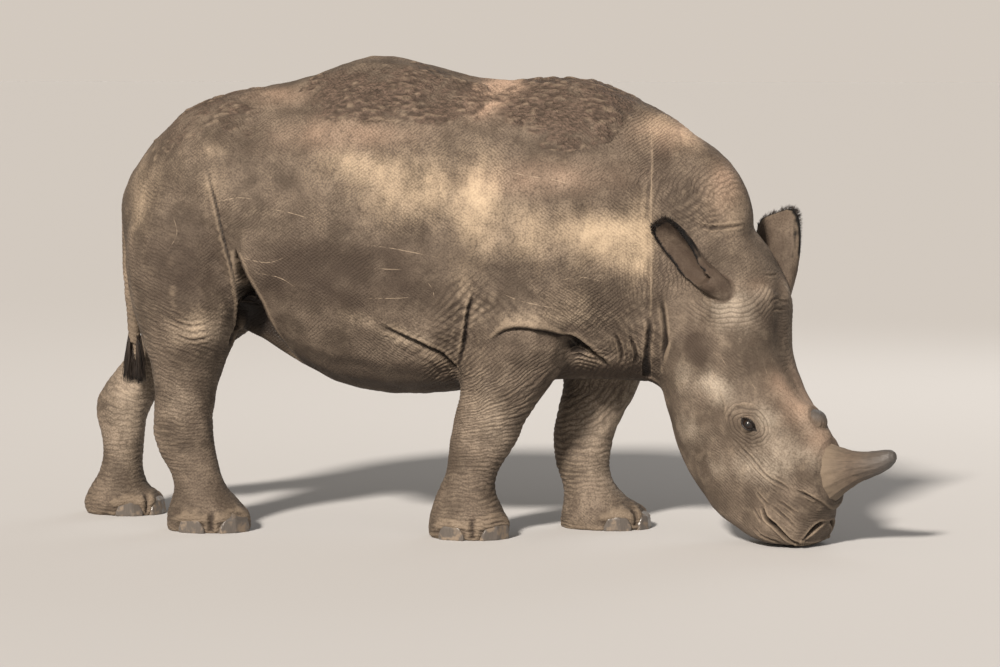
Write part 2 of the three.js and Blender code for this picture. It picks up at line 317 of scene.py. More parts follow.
def noise(at, size, seed):
    """Smooth random values from -1 to 1, in lumps about size wide."""
    grid = at / size
    corner = np.floor(grid).astype(np.int64)
    part = grid - corner
    part = part * part * (3 - 2 * part)
    total = np.zeros(len(at))
    for step in itertools.product((0, 1), repeat=3):
        key = (corner + step) @ np.array([73856093, 19349663, 83492791]) + seed * 2654435
        key = ((key ^ (key >> 13)) * 1274126177) & 0x7FFFFFFF
        key = ((key ^ (key >> 15)) * 961748927) & 0x7FFFFFFF
        value = (key >> 8 & 0xFFFF) / 32767.5 - 1
        total += value * np.prod(np.where(step, part, 1 - part), axis=1)
    return total


sample = noise(points, 0.1, 1)
print("noise from", sample.min().round(2), "to", sample.max().round(2))

# %% [markdown]
# ## Strokes
#
# A stroke follows a few marks on a smooth curve and is dropped on to the hull, which is the animal before
# it got any folds. Each of its points keeps the direction across the stroke, so one profile can be drawn
# along its whole length. A curve object with a bevel would lie on the skin instead of in it.

# %% Strokes on the hull
STROKE_STEP = 6 * MM
RIGHT, LEFT = -1, 1
mass_faces = [tuple(face.vertices) for face in masses.polygons]
hull = BVHTree.FromPolygons(points_of(masses).tolist(), mass_faces)


def curve_through(marks):
    """Points about a step apart on a smooth curve through the marks."""
    marks = np.asarray(marks, float)
    ends = np.vstack([2 * marks[0] - marks[1], marks, 2 * marks[-1] - marks[-2]])
    curve = []
    for before, start, end, after in zip(ends, ends[1:], ends[2:], ends[3:]):
        count = max(2, int(np.linalg.norm(end - start) / STROKE_STEP))
        for t in np.linspace(0, 1, count, endpoint=False):
            bend = (2 * before - 5 * start + 4 * end - after) * t**2
            turn = (3 * start - before - 3 * end + after) * t**3
            curve.append((2 * start + (end - before) * t + bend + turn) / 2)
    return np.array(curve + [marks[-1]])


def laid(marks, side=RIGHT, start=0.3, end=0.3):
    """A stroke on the skin through the marks, and the shares of it that fade at its start and end."""
    found = [hull.find_nearest(Vector(point)) for point in curve_through(marks)]
    places = np.array([place for place, normal, _, _ in found])
    outward = np.array([normal for place, normal, _, _ in found])
    across = np.cross(outward, np.gradient(places, axis=0)) * -side
    across /= np.linalg.norm(across, axis=1)[:, None] + 1e-9
    way = np.linspace(0, 1, len(places))
    return places, across, ramp(way, 0, start) * ramp(way, 1, 1 - end)


def flank(marks, side=RIGHT, ahead=0.0, end=0.3):
    """A stroke through marks given as x and z, cast from beside the animal on to its flank."""
    found = []
    for x, z in marks:
        place = hull.ray_cast(Vector((x + ahead, side * 1.0, z)), Vector((0, -side, 0)))[0]
        found.append(place or hull.find_nearest(Vector((x + ahead, side * 0.3, z)))[0])
    return laid(found, side, end=end)


def near_stroke(stroke, reach):
    """The points within reach of a stroke, their distance across it, and a share that fades at its ends."""
    places, across, strength = stroke
    box = (points > places.min(axis=0) - reach) & (points < places.max(axis=0) + reach)
    near = np.flatnonzero(box.all(axis=1))
    square = (points[near] ** 2).sum(axis=1)[:, None] - 2 * points[near] @ places.T
    square += (places**2).sum(axis=1)
    closest = square.argmin(axis=1)
    kept = square[np.arange(len(near)), closest] < reach**2
    near, closest = near[kept], closest[kept]
    distance = ((points[near] - places[closest]) * across[closest]).sum(axis=1)
    return near, distance, strength[closest]


print("hull of", len(mass_faces), "faces to draw on")

# %% [markdown]
# ## Touches
#
# A swelling is a bell-shaped mound. A fold is pressed along a stroke: it can hang full over one side,
# have a groove with soft lips, have painted shade at its damp bottom, and have wrinkles that run in step
# with it. One function takes whichever of the four a fold has, in millimetres, so that a fold reads as one
# line of a table.


# %% Touches
def swell(centre, radii, height):
    """A mound some millimetres high, or a hollow where the height is negative."""
    lift[:] += height * MM * np.exp(-(((points - centre) / radii) ** 2).sum(axis=1))


def press(stroke, full=None, groove=None, damp_and_shade=None, ripple=None):
    """Presses one fold into the skin along a stroke.

    full is the height and width of a flap that is full on one side and tucked in on the other, groove the
    depth, width and lip of a crease, damp how wide the painted shade at its bottom is, and ripple the
    depth, spacing and reach of the wrinkles beside it.
    """
    if full:
        height, width = np.array(full) * MM
        near, distance, fade = near_stroke(stroke, 4 * width)
        spread = np.where(distance > 0, 1.7 * width, width)
        lift[near] += height * fade * np.tanh(4 * distance / width) * np.exp(-np.abs(distance) / spread)
    if groove:
        depth, width, lip = groove[0] * MM, groove[1] * MM, groove[2]
        near, distance, fade = near_stroke(stroke, 3.5 * width)
        lips = lip * bell(np.abs(distance) - 1.8 * width, width)
        lift[near] += depth * fade * (lips - bell(distance, width))
    # painted shade: the fold's bottom is darkened, for damp skin and for the shade that falls there
    if damp_and_shade:
        near, distance, fade = near_stroke(stroke, 2.5 * damp_and_shade * MM)
        fold_shade[near] = np.maximum(fold_shade[near], fade * bell(distance, damp_and_shade * MM))
    if ripple:
        depth, spacing, reach = np.array(ripple) * MM
        near, distance, fade = near_stroke(stroke, 1.5 * reach)
        wave = np.pi * (distance + 0.3 * spacing * noise(points[near], 3 * spacing, 7)) / spacing
        lift[near] -= depth * fade * bell(distance, reach) * np.abs(np.cos(wave)) ** 3


print("a groove 5 mm wide is", round(float(bell(5, 5)), 2), "of its depth at its edge")

# %% [markdown]
# ## Bones and muscles under the hide
#
# Even under thick hide the big forms show: hip, ribs, shoulder blade, knee. Soft mounds and hollows of
# about a centimetre are enough, because a low light turns each of them into a broad change of tone.

# %% Bones and muscles under the hide
FORMS = [((-0.80, 0.33, 1.27), (0.11, 0.16, 0.07), 14),   # point of the hip
         ((-0.60, 0.36, 1.22), (0.13, 0.20, 0.12), -10),  # hollow of the flank before it
         ((-0.10, 0.42, 0.90), (0.34, 0.25, 0.20), 8),    # barrel of the ribs
         ((0.33, 0.34, 1.20), (0.10, 0.20, 0.20), 10),    # shoulder blade
         ((0.12, 0.40, 0.97), (0.08, 0.20, 0.16), -8),    # hollow behind the shoulder
         ((0.36, 0.36, 0.82), (0.12, 0.20, 0.09), 10),    # point of the shoulder
         ((-0.15, 0.26, 0.56), (0.12, 0.16, 0.05), 12)]   # pad of the belly behind the elbow
KNEES = {RIGHT: (-0.86, -0.36, 0.70), LEFT: (-1.02, 0.33, 0.72)}
KNEE_LINE = [(-0.97, 0.03), (-0.90, 0.0), (-0.82, 0.01)]
LEFT_BACK = 0.16  # the left hind leg stands this much further back

for side in (RIGHT, LEFT):
    for centre, radii, height in FORMS:
        swell((centre[0], side * centre[1], centre[2]), radii, height)
    swell(KNEES[side], (0.07, 0.12, 0.06), 10)
    for level in (0.655, 0.700):
        line = [(x, level + up) for x, up in KNEE_LINE]
        line = line[::-side]  # drawn backwards on the left, where the wrinkles then wander otherwise
        press(flank(line, side, 0 if side == RIGHT else -LEFT_BACK), ripple=(5, 21, 26))
print("forms lift the skin by", (lift.min() / MM).round(1), "to", (lift.max() / MM).round(1), "mm")
settle()

# %% [markdown]
# ## Folds of the body
#
# A rhinoceros's hide is up to four centimetres thick and hangs like heavy cloth. It folds in the same
# places on each animal: before the thigh, behind the elbow, over the upper arm, round the neck and under
# the throat. Each fold is drawn as a stroke, with marks given as x and z, in metres, from tail to head
# and up.

# %% Where the folds run
THIGH_FOLD = [
    (-0.850, 1.262), (-0.820, 1.177), (-0.798, 1.095), (-0.772, 0.980), (-0.752, 0.888), (-0.742, 0.800),
    (-0.745, 0.730)]
ARM_FOLD = [
    (0.100, 0.640), (0.160, 0.690), (0.206, 0.706), (0.254, 0.703), (0.299, 0.695), (0.340, 0.680),
    (0.375, 0.675), (0.398, 0.658), (0.431, 0.626), (0.456, 0.590)]
ELBOW_FOLD = [
    (0.078, 0.850), (0.070, 0.815), (0.051, 0.755), (0.035, 0.678), (0.020, 0.627), (0.000, 0.560)]
BELLY_FOLD = [
    (-0.260, 0.720), (-0.149, 0.659), (-0.103, 0.637), (-0.056, 0.615), (-0.025, 0.580), (-0.005, 0.550)]
NECK_FOLD = [
    (0.596, 1.395), (0.610, 1.342), (0.624, 1.246), (0.629, 1.118), (0.633, 0.990), (0.632, 0.827),
    (0.624, 0.695), (0.611, 0.610)]
NECK_ROLL = [(0.660, 0.830), (0.668, 0.780), (0.674, 0.720), (0.674, 0.660), (0.664, 0.600), (0.655, 0.560)]
NECK_CLEFT = [(0.628, 0.760), (0.622, 0.695), (0.611, 0.630), (0.600, 0.570), (0.590, 0.520)]
NAPE_FOLD = [(0.760, 1.045), (0.786, 1.035), (0.834, 1.028), (0.894, 1.034), (0.925, 1.040)]
CHEST_LINE = [
    (0.350, 0.690), (0.385, 0.668), (0.409, 0.644), (0.440, 0.612), (0.462, 0.588), (0.480, 0.560)]
CHEST_MIDDLE = [(0.360, 0.600), (0.400, 0.604), (0.440, 0.590), (0.470, 0.575)]
CHEST_FOLDS = [
    [(0.505, 0.690), (0.520, 0.650), (0.524, 0.610), (0.515, 0.570)],
    [(0.555, 0.680), (0.568, 0.640), (0.570, 0.600), (0.560, 0.565)]]
AHEAD = {RIGHT: 0.0, LEFT: 0.17}  # how much further forward that side's shoulder stands
print("the thigh's fold is", round(math.dist(THIGH_FOLD[0], THIGH_FOLD[-1]), 2), "m long")

# %% Press the folds
for side in (RIGHT, LEFT):
    ahead = AHEAD[side]
    press(flank(THIGH_FOLD, side, end=0.05), full=(-4, 14), groove=(5, 4, 0.1), damp_and_shade=3)
    press(flank(NECK_FOLD, side), full=(4, 30), groove=(-5, 5, 0))
    press(flank(NECK_CLEFT, side, end=0.05), full=(-6, 20), groove=(11, 7, 0.2), damp_and_shade=4)
    press(flank(NECK_ROLL, side), full=(7, 26), groove=(10, 7, 0.1), damp_and_shade=5)
    press(flank(NAPE_FOLD, side), groove=(4, 6, 0.8), ripple=(3, 18, 40))
    press(flank(ARM_FOLD, side, ahead), full=(16, 24), groove=(12, 5, 0.1), damp_and_shade=4)
    press(flank(ELBOW_FOLD, side, ahead), full=(-6, 12), groove=(8, 4.5, 0.2), damp_and_shade=4, ripple=(3, 26, 60))
    belly = flank(BELLY_FOLD, side, ahead, end=0.05)
    press(belly, full=(8, 34), groove=(18, 12, 0.1), damp_and_shade=8, ripple=(3, 26, 60))
    press(flank(CHEST_LINE, side, ahead), full=(8, 18), groove=(19, 7, 0.1), damp_and_shade=8)
    press(flank(CHEST_MIDDLE, side, ahead), ripple=(7, 17, 50))
    for marks in CHEST_FOLDS:
        press(flank(marks, side), groove=(8, 6, 0.3), ripple=(4, 16, 36))
print("deepest fold", (-lift.min() / MM).round(1), "mm, fullest", (lift.max() / MM).round(1), "mm")
settle()

# %% [markdown]
# ## Hollows where the legs join
#
# Between thigh and belly the hide sinks into a deep dark wedge, and a small pocket lies before the arm's
# fold. They are too deep for a stroke, so a whole patch of skin between two edges is pushed in.

# %% Hollows where the legs join
# The two edges are given as z and x, from the bottom up.
THIGH_EDGE = [
    (0.560, -0.820), (0.597, -0.806), (0.690, -0.772), (0.779, -0.742), (0.908, -0.738), (0.960, -0.738)]
BELLY_EDGE = [
    (0.560, -0.560), (0.680, -0.624), (0.772, -0.652), (0.865, -0.700), (0.930, -0.724), (0.960, -0.730)]
WEDGE_DEPTH = 85 * MM
WEDGE_LOW, WEDGE_HIGH = 0.56, 0.96


def wedge_share(far, near, behind=8 * MM, before=14 * MM, wider=0.0):
    """1 in the gap between the thigh's edge and the belly's, on skin near enough to the right side."""
    x, y, z = points.T
    thigh_edge = np.interp(z, *zip(*THIGH_EDGE))
    belly_edge = np.interp(z, *zip(*BELLY_EDGE)) + wider
    inside = ramp(x, thigh_edge, thigh_edge + behind) * ramp(x, belly_edge, belly_edge - before)
    inside = inside * ramp(z, WEDGE_LOW, WEDGE_LOW + 0.04) * ramp(z, WEDGE_HIGH, WEDGE_HIGH - 0.04)
    return inside * ramp(-y, far, near)


lift -= WEDGE_DEPTH * wedge_share(0.10, 0.16)
# painted shade in the gap between thigh and belly, laid on the colour further on
wedge_shade = wedge_share(-0.12, -0.04, behind=3 * MM, before=6 * MM, wider=9 * MM)
swell((0.375, -0.215, 0.640), (0.030, 0.08, 0.032), -34)  # pocket before the arm's fold
for side in (RIGHT, LEFT):
    swell((0.585, side * 0.12, 0.550), (0.040, 0.14, 0.05), -15)  # underside between neck and chest
settle()
print("points in the wedge", int((wedge_shade > 0.5).sum()))

# %% [markdown]
# ## The face's forms
#
# Marks on the face are in the head's own frame, in millimetres, for its right side, and are mirrored for
# its left. White rhinoceroses have a broad flat muzzle, knobs on the brow, a trough down the forehead,
# and a heavy chewing muscle. These are mounds and hollows, as on the body.

# %% The face's forms
FACE_FORMS = [((118, 150, -388), (50, 40, 22), 7),     # brow over the eye
              ((70, 170, -350), (26, 40, 60), 6),      # cheekbone
              ((170, 130, -420), (40, 50, 60), -5),    # hollow before the eye
              ((120, 150, -240), (70, 60, 80), -6),    # temple
              ((-60, 170, -330), (90, 60, 120), 8),    # chewing muscle
              ((236, 52, -45), (28, 30, 26), 10),      # knobs of the brow
              ((230, 0, -170), (50, 40, 90), -9),      # trough down the forehead
              ((275, 60, -620), (60, 60, 60), 8),      # pad beside the horn
              ((100, 140, -780), (36, 40, 30), 13),    # corner of the lower lip
              ((205, 110, -760), (50, 40, 40), 7),     # wing of the nostril
              ((170, 140, -700), (40, 50, 50), -4)]    # hollow of the upper lip

for centre, radii, height in FACE_FORMS:
    offset = (folded(to_head(points)) - centre) / radii
    lift += height * MM * np.exp(-(offset**2).sum(axis=1)) * (points[:, 0] > 0.6)
settle()
print("forms on the face", len(FACE_FORMS))

# %% [markdown]
# ## Collars where horn grows from the skin
#
# A horn isn't stuck on: the skin swells up round its foot as a thick collar. The distance from each point
# of the skin to the horn's solid says how high the collar is there, so it follows any outline.

# %% Collars where horn grows from the skin
def gap_to(name, reach):
    """How far each point of the skin lies from a node's solid, and reach where it is further."""
    low, high = corners(name)
    box = (points > low - reach) & (points < high + reach)
    solid = nodes[name].data
    tree = BVHTree.FromPolygons([v.co for v in solid.vertices], [tuple(f.vertices) for f in solid.polygons])
    gap = np.full(len(points), reach)
    for index in np.flatnonzero(box.all(axis=1)):
        found = tree.find_nearest(Vector(points[index]), reach)
        if found[0]:
            gap[index] = found[3]
    return gap


HORN_REACH, KNOB_REACH = 0.08, 0.06
horn_gap = gap_to("horn_front", HORN_REACH)
knob_gap = gap_to("horn_rear", KNOB_REACH)
lift += 24 * MM * bell(horn_gap, 34 * MM) * (horn_gap < HORN_REACH)
lift += 16 * MM * bell(knob_gap, 26 * MM) * (knob_gap < KNOB_REACH)
settle()
print("points beside the horns", int((horn_gap < 0.03).sum()), int((knob_gap < 0.03).sum()))

# %% [markdown]
# ## Toes
#
# Each foot has three toes with a nail at the tip of each. The skin rises over every nail, found by its
# gap as at the horns, and a short groove runs up the cleft between two toes.

# %% Toes
TOE_REACH = 0.05
toe_lift = np.zeros(len(points))
for leg_name in legs:
    middles = []
    for toe in toes:
        nail = f"nail_{leg_name}_{toe}"
        middles.append(sum(corners(nail)) / 2)
        gap = gap_to(nail, TOE_REACH)
        rise_over = ramp(points[:, 2], 26 * MM, 48 * MM) * ramp(points[:, 2], 0.14, 0.06)
        toe_lift = np.maximum(toe_lift, bell(gap, 26 * MM) * rise_over * (gap < TOE_REACH))
    for first, second in zip(middles, middles[1:]):
        cleft = [(first + second) / 2 + (0, 0, up) for up in (-0.04, -0.01, 0.02, 0.05)]
        press(laid(cleft, start=0.02, end=0.5), groove=(10, 9, 0.2))
lift += 13 * MM * toe_lift
settle()
print("points over the toes", int((toe_lift > 0.5).sum()))

# %% [markdown]
# ## Ears
#
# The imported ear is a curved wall, and on a real one the hide turns in along its lower margin, which
# leaves a narrow opening. Its points are drawn towards that margin, along one line across the ear.

# %% Ears
EAR_LONG = np.array([-0.564, -0.240, 0.790])
LEFT_EAR_LONG = np.array([-0.148, 0.503, 0.851])
EAR_WIDE = np.array([-0.724, 0.604, -0.334])  # towards its lower margin, which stays where it is
EAR_MIDDLE = np.array([0.768, -0.299, 0.946])
NARROWED = 0.70
EAR_HALF = 80 * MM
EAR_REACH = 12 * MM

ear_gap = np.minimum(gap_to("ear_right", EAR_REACH), gap_to("ear_left", EAR_REACH))
on_ear = ramp(ear_gap, EAR_REACH, 7 * MM)
off_ear = 1 - on_ear
ear_offset = points - EAR_MIDDLE
from_margin = EAR_HALF - ear_offset @ EAR_WIDE
hold = on_ear * ramp(ear_offset @ EAR_LONG, -0.13, -0.02) * (points[:, 1] < -0.2)
points += (from_margin * (1 - NARROWED) * hold)[:, None] * EAR_WIDE
set_points(base, points)
normals[:] = normals_of(base)
print("ear points", int((on_ear > 0.5).sum()))

# %% [markdown]
# ## Lines of the face
#
# A long crease runs from below the eye to the lips, a ledge of skin hangs over each nostril, and the
# lips, the chin and the brow have short folds of their own. They are strokes again, given in the head's
# frame.

# %% Where the face's lines run
MUZZLE_LINE = [
    (40, -160, -455), (56, -156, -485), (92, -145, -545), (128, -136, -608), (165, -126, -645),
    (197, -119, -675), (230, -100, -693)]
NOSTRIL_LEDGE = [
    (205, -118, -680), (230, -100, -693), (250, -67, -722), (255, -30, -750), (256, 0, -758),
    (255, 30, -750), (250, 67, -722), (230, 100, -693), (205, 118, -680)]
MOUTH = [
    (92, -141, -706), (101, -140, -726), (110, -143, -749), (133, -143, -776), (147, -133, -805),
    (160, -112, -835), (175, -70, -850), (182, 0, -853), (175, 70, -850), (160, 112, -835),
    (147, 133, -805), (133, 143, -776), (110, 143, -749), (101, 140, -726), (92, 141, -706)]
CHEEK_RIDGE = [(70, -184, -280), (62, -182, -315), (66, -177, -366), (49, -168, -413), (40, -165, -450)]
JAW_EDGE = [(-60, -187, -90), (-102, -184, -134), (-159, -158, -190), (-190, -130, -250)]
CHIN_FOLD = [(40, -120, -760), (70, -125, -790), (110, -115, -820), (120, -80, -835)]
BROW_LINES = [
    [(228, -70, -72), (237, -23, -56), (239, 15, -70), (234, 65, -78)],
    [(219, -58, 24), (222, -10, 18), (224, 45, 20)], [(236, -60, -100), (240, -20, -92), (240, 30, -104)]]
LIP_LINES = [
    [(120, -140, -700), (150, -132, -735), (175, -120, -775), (190, -100, -810)],
    [(140, -136, -690), (175, -125, -722), (205, -105, -765)],
    [(80, -140, -650), (105, -141, -690), (125, -140, -715)],
    [(60, -140, -700), (75, -139, -735), (95, -137, -765)]]


def face(marks, side=RIGHT, start=0.3, end=0.3):
    """A stroke through marks on the face's right side, laid on the side that is asked for."""
    return laid(from_head([(a, -side * b, c) for a, b, c in marks]), side, start, end)


print("marks round the mouth", len(MOUTH))

# %% Press the face's lines
for side in (RIGHT, LEFT):
    press(face(MUZZLE_LINE, side), groove=(3, 5, 0.4), ripple=(2.6, 15, 45))
    press(face(CHEEK_RIDGE, side), groove=(-5, 9, 0.2))
    press(face(JAW_EDGE, side), full=(7, 22))
    press(face(CHIN_FOLD, side), groove=(6, 6, 0.4))
    for marks in LIP_LINES:
        press(face(marks, side), groove=(3, 4, 0.6), ripple=(1.5, 11, 22))
press(face(NOSTRIL_LEDGE, start=0.15, end=0.15), full=(6, 14), groove=(6, 5, 0.6))
press(face(MOUTH, start=0.05, end=0.05), groove=(26, 5, 0.35), damp_and_shade=5)
for marks in BROW_LINES:
    press(face(marks), groove=(3.5, 5, 0.5))
print("the mouth is", (-lift.min() / MM).round(1), "mm deep")
settle()

# %% [markdown]
# ## Nostrils
#
# A nostril is a slanting comma with a raised rim. Its opening is a distance that is 1 on the comma's
# outline: skin within it sinks, and a ring of skin just outside rises.

# %% Nostrils
NOSTRIL = np.array([224, 60, -812])
NOSTRIL_WAY = np.array([0.42, -0.77, 0.47])  # from its outer end up to the inner one
NOSTRIL_OUT = np.array([0.80, 0.25, -0.55])
HALF_NOSTRIL = (40, 10)  # mm, half its length and half its width
COMMA = 0.006  # how much it curves

offset = folded(to_head(points)) - NOSTRIL
along = offset @ NOSTRIL_WAY
across = offset @ np.cross(NOSTRIL_OUT, NOSTRIL_WAY) - COMMA * along**2
opening = np.sqrt((along / HALF_NOSTRIL[0]) ** 2 + (across / HALF_NOSTRIL[1]) ** 2)
opening += (np.abs(offset @ NOSTRIL_OUT) > 60) * 9  # keeps it out of the far side of the head
nostril = 1 - ramp(opening, 0.55, 1.15)
lift += 4 * MM * bell(opening - 1.45, 0.4) - 26 * MM * nostril
settle()
print("nostril points", int((nostril > 0.5).sum()))

# %% [markdown]
# ## Eyelids
#
# The eyeball is fixed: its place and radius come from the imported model. The lids are a shell of skin a
# little larger than the ball, with an almond opening that slants down to the muzzle. Skin within the
# opening is pushed behind the ball's surface, so the ball shows and the opening gets a real edge.

# %% The opening between the lids
GAZE = np.array([0.30, 0.953, 0.05])
SLIT = np.array([0.60, -0.15, -0.79])
SLIT = SLIT - GAZE * (SLIT @ GAZE)
SLIT /= np.linalg.norm(SLIT)
LID_UP = np.cross(SLIT, GAZE)
HALF_LONG = 26.0  # mm, half the opening's length
HALF_HIGH = 8.5

local = folded(to_head(points))
from_eye = local - EYE
radius = np.linalg.norm(from_eye, axis=1)
slit_u = from_eye @ SLIT
slit_v = from_eye @ LID_UP
facing = from_eye @ GAZE / np.maximum(radius, 1)
almond = HALF_HIGH * np.maximum(1 - (slit_u / HALF_LONG) ** 2, 0.02)
slit = np.sqrt((slit_u / HALF_LONG) ** 2 * 0.3 + (slit_v / almond) ** 2)
slit = np.where(np.abs(slit_u) > HALF_LONG, 2 + np.abs(slit_u) / HALF_LONG, slit)
print("the opening is", 2 * HALF_LONG, "mm long and", 2 * HALF_HIGH, "mm high")

# %% The lids
LID_RADIUS = 30.5
BEHIND = 18.0  # the radius to which skin within the opening is pushed
MARGIN_HALF = 38  # mm, half the length of the dark bare margin round the lids
rim = np.hypot(slit_u / (HALF_LONG + 8), slit_v / (HALF_HIGH + 7))  # 1 on an oval round the opening
corner = bell(np.abs(slit_u) - HALF_LONG - 3, 6) * bell(slit_v, 3)  # grooves at the two corners
margin = np.abs(slit_v - 1.0) - 13.0 * np.maximum(1 - (slit_u / MARGIN_HALF) ** 2, 0)
margin = np.where(np.abs(slit_u) > MARGIN_HALF, 9, margin)
close = (radius < 70) & (facing > 0.2)

lid_share = ramp(facing, math.cos(math.radians(74)), math.cos(math.radians(50))) * close
upper = ramp(slit_v, -4, 6)  # the upper lid is heavier than the lower one
wanted = LID_RADIUS + (1.6 + 1.8 * upper) * bell(rim - 1.25, 0.17) - 1.4 * bell(rim - 1.0, 0.10)
wanted = wanted - (1.2 + 1.6 * upper) * bell(rim - 1.55, 0.12) - 2.5 * corner
wanted = np.where(slit < 1.25, BEHIND + (wanted - BEHIND) * ramp(slit, 0.95, 1.25), wanted)
new_radius = radius + lid_share * (wanted - radius)
moved = EYE + from_eye * (new_radius / np.maximum(radius, 1))[:, None]
moved[:, 1] *= np.where(to_head(points)[:, 1] < 0, -1, 1)
points[close] = from_head(moved[close])
settle()
print("lid points", int(close.sum()), "of which open", int((close & (slit < 1)).sum()))

# %% [markdown]
# ## Wrinkles
#
# Between the folds the whole hide is wrinkled. On the barrel and the neck two slanting sets of wrinkles
# cross, round the legs and the rump they run as rings, and round the eyes and the ears they lie like
# ripples. Each set is a distance measured across it, its way, and a share that says where it lies. A
# noise texture alone would give spots, not lines that run with the body.

# %% Parts of the body
x, y, z = points.T
local = folded(to_head(points))
in_head = ramp(local[:, 2], 40, -40) * ramp(x, 0.64, 0.70)
body_only = 1 - in_head
front_leg = ramp(x, -0.16, -0.08) * ramp(x, 0.62, 0.52) * ramp(z, 0.74, 0.56) * ramp(np.abs(y), 0.02, 0.07)
hind_leg = ramp(x, -0.66, -0.76) * ramp(z, 0.84, 0.62)
rump = ramp(x, -0.78, -1.0) * ramp(z, 1.30, 1.10)
torso = (1 - np.maximum(front_leg, hind_leg)) * body_only
print("points in the head", int((in_head > 0.5).sum()), "and in the trunk", int((torso > 0.5).sum()))

# %% Which way the wrinkles run
SLANT = math.radians(38)
FRONT_LEVEL, HIND_LEVEL = 0.2, -0.95  # where the rings round the legs are level
EAR_ROOT = (165, 150, 50)
at_front = x > -0.3
lean = np.where(at_front, -0.75, 0.35) * ramp(z, 0.22, 0.60)
ring_way = z + lean * (x - np.where(at_front, FRONT_LEVEL, HIND_LEVEL))
up_way = z * math.cos(SLANT) - x * math.sin(SLANT)
down_way = z * math.cos(SLANT) + x * math.sin(SLANT)
side_way = x + 0.8 * np.abs(y) * ramp(x, 0.3, 0.6)
ear_way = np.linalg.norm((local - EAR_ROOT) / (1.15, 1.0, 1.0), axis=1) * MM
eye_way = np.sqrt((slit_u / 1.25) ** 2 + slit_v**2 + 0.2 * (from_eye @ GAZE) ** 2) * MM
face_way = (local[:, 0] * 0.8 + local[:, 2] * 0.6) * MM

ring_share = np.maximum(np.maximum(front_leg, 0.6 * hind_leg), 0.8 * rump)
cross_share = torso * (1 - 0.6 * rump) + 0.5 * hind_leg
side_share = ramp(x, 0.45, 0.62) * body_only * ramp(z, 1.35, 1.15)
eye_share = in_head * bell(eye_way - 48 * MM, 32 * MM) * ramp(eye_way, 20 * MM, 30 * MM)
ear_share = in_head * bell(ear_way - 140 * MM, 65 * MM) * ramp(local[:, 2], 10, -20) * (local[:, 1] > 50)
face_share = in_head * (1 - eye_share) * (1 - ear_share)
print("points with rings", int((ring_share > 0.5).sum()), "and crossings", int((cross_share > 0.5).sum()))

# %% [markdown]
# ## The coarse wrinkles, in the mesh
#
# The mesh carries the wrinkles that are two centimetres apart, and the material draws finer ones in step
# with them. Crossing wrinkles leave diamonds, because the deeper of two valleys wins: each set is a
# number from 0 in a valley to 1 on a crest, and the sets are multiplied. They are deepest where the hide
# bends most.


# %% Ridges and patches
def valleys(way, spacing, wander, seed):
    """Rounded ridges with narrow valleys between them: 0 in a valley, 1 on a crest."""
    wave = way + wander * spacing * noise(points, 3.5 * spacing, seed)
    wave = wave + 0.25 * spacing * noise(points, 1.3 * spacing, seed + 1)
    return np.abs(np.sin(np.pi * wave / spacing)) ** 0.6


def patchy(size, seed, low=0.15):
    """A share that comes and goes from patch to patch, and is never less than low."""
    cloud = noise(points, size, seed) + 0.5 * noise(points, size / 2, seed + 1)
    return low + (1 - low) * ramp(cloud, -0.5, 0.7)


def patch(ovals, where=1.0):
    """The sum of soft ovals, each given as x, z, half width, half height and strength, on both flanks."""
    total = np.zeros(len(points))
    for px, pz, wide, high, strength in ovals:
        total += strength * np.exp(-(((x - px) / wide) ** 2) - ((z - pz) / high) ** 2)
    return np.clip(total * where, 0, 1)


BENDING = [
    (0.05, 0.74, 0.10, 0.16, 1.0), (-0.10, 0.64, 0.16, 0.06, 1.0), (0.50, 0.64, 0.14, 0.12, 1.0),
    (0.64, 1.20, 0.10, 0.25, 0.8), (0.80, 1.08, 0.10, 0.08, 0.8), (-0.76, 1.00, 0.07, 0.25, 0.5),
    (-0.86, 0.68, 0.12, 0.10, 1.0), (0.30, 0.74, 0.25, 0.06, 0.8)]
CREASED = [(0.04, 0.52, 0.08, 0.20, 1.0), (-0.88, 0.68, 0.12, 0.10, 0.8), (0.30, 0.30, 0.10, 0.25, 0.6)]
rough = 0.25 + 0.75 * patch(BENDING)
creased = patch(CREASED)
print("points where the hide bends", int((rough > 0.6).sum()))

# %% Lift the wrinkles
RIDGE = 24 * MM
EAR_RIPPLE, EYE_RIPPLE = 15 * MM, 11 * MM
ring_patches = np.clip(patchy(0.15, 15, 0.4) + creased, 0, 1)
relief = 1 - cross_share * rough * patchy(0.20, 11) * (1 - valleys(up_way, RIDGE, 1.2, 21))
relief *= 1 - cross_share * rough * patchy(0.20, 13) * (1 - valleys(down_way, RIDGE * 1.1, 1.2, 23))
relief *= 1 - ring_share * ring_patches * (1 - valleys(ring_way, RIDGE * 0.75, 0.8, 25))
relief *= 1 - side_share * rough * patchy(0.15, 17, 0.4) * (1 - valleys(side_way, RIDGE * 1.1, 1.0, 27))
relief *= 1 - eye_share * (1 - valleys(eye_way, EYE_RIPPLE, 0.25, 29))
relief *= 1 - ear_share * (1 - valleys(ear_way, EAR_RIPPLE, 0.4, 30))
deep = np.where(in_head > 0.5, 2.6, 3.0 + 1.6 * np.maximum(rough, creased)) * MM
lift += deep * (relief - 0.8) * off_ear

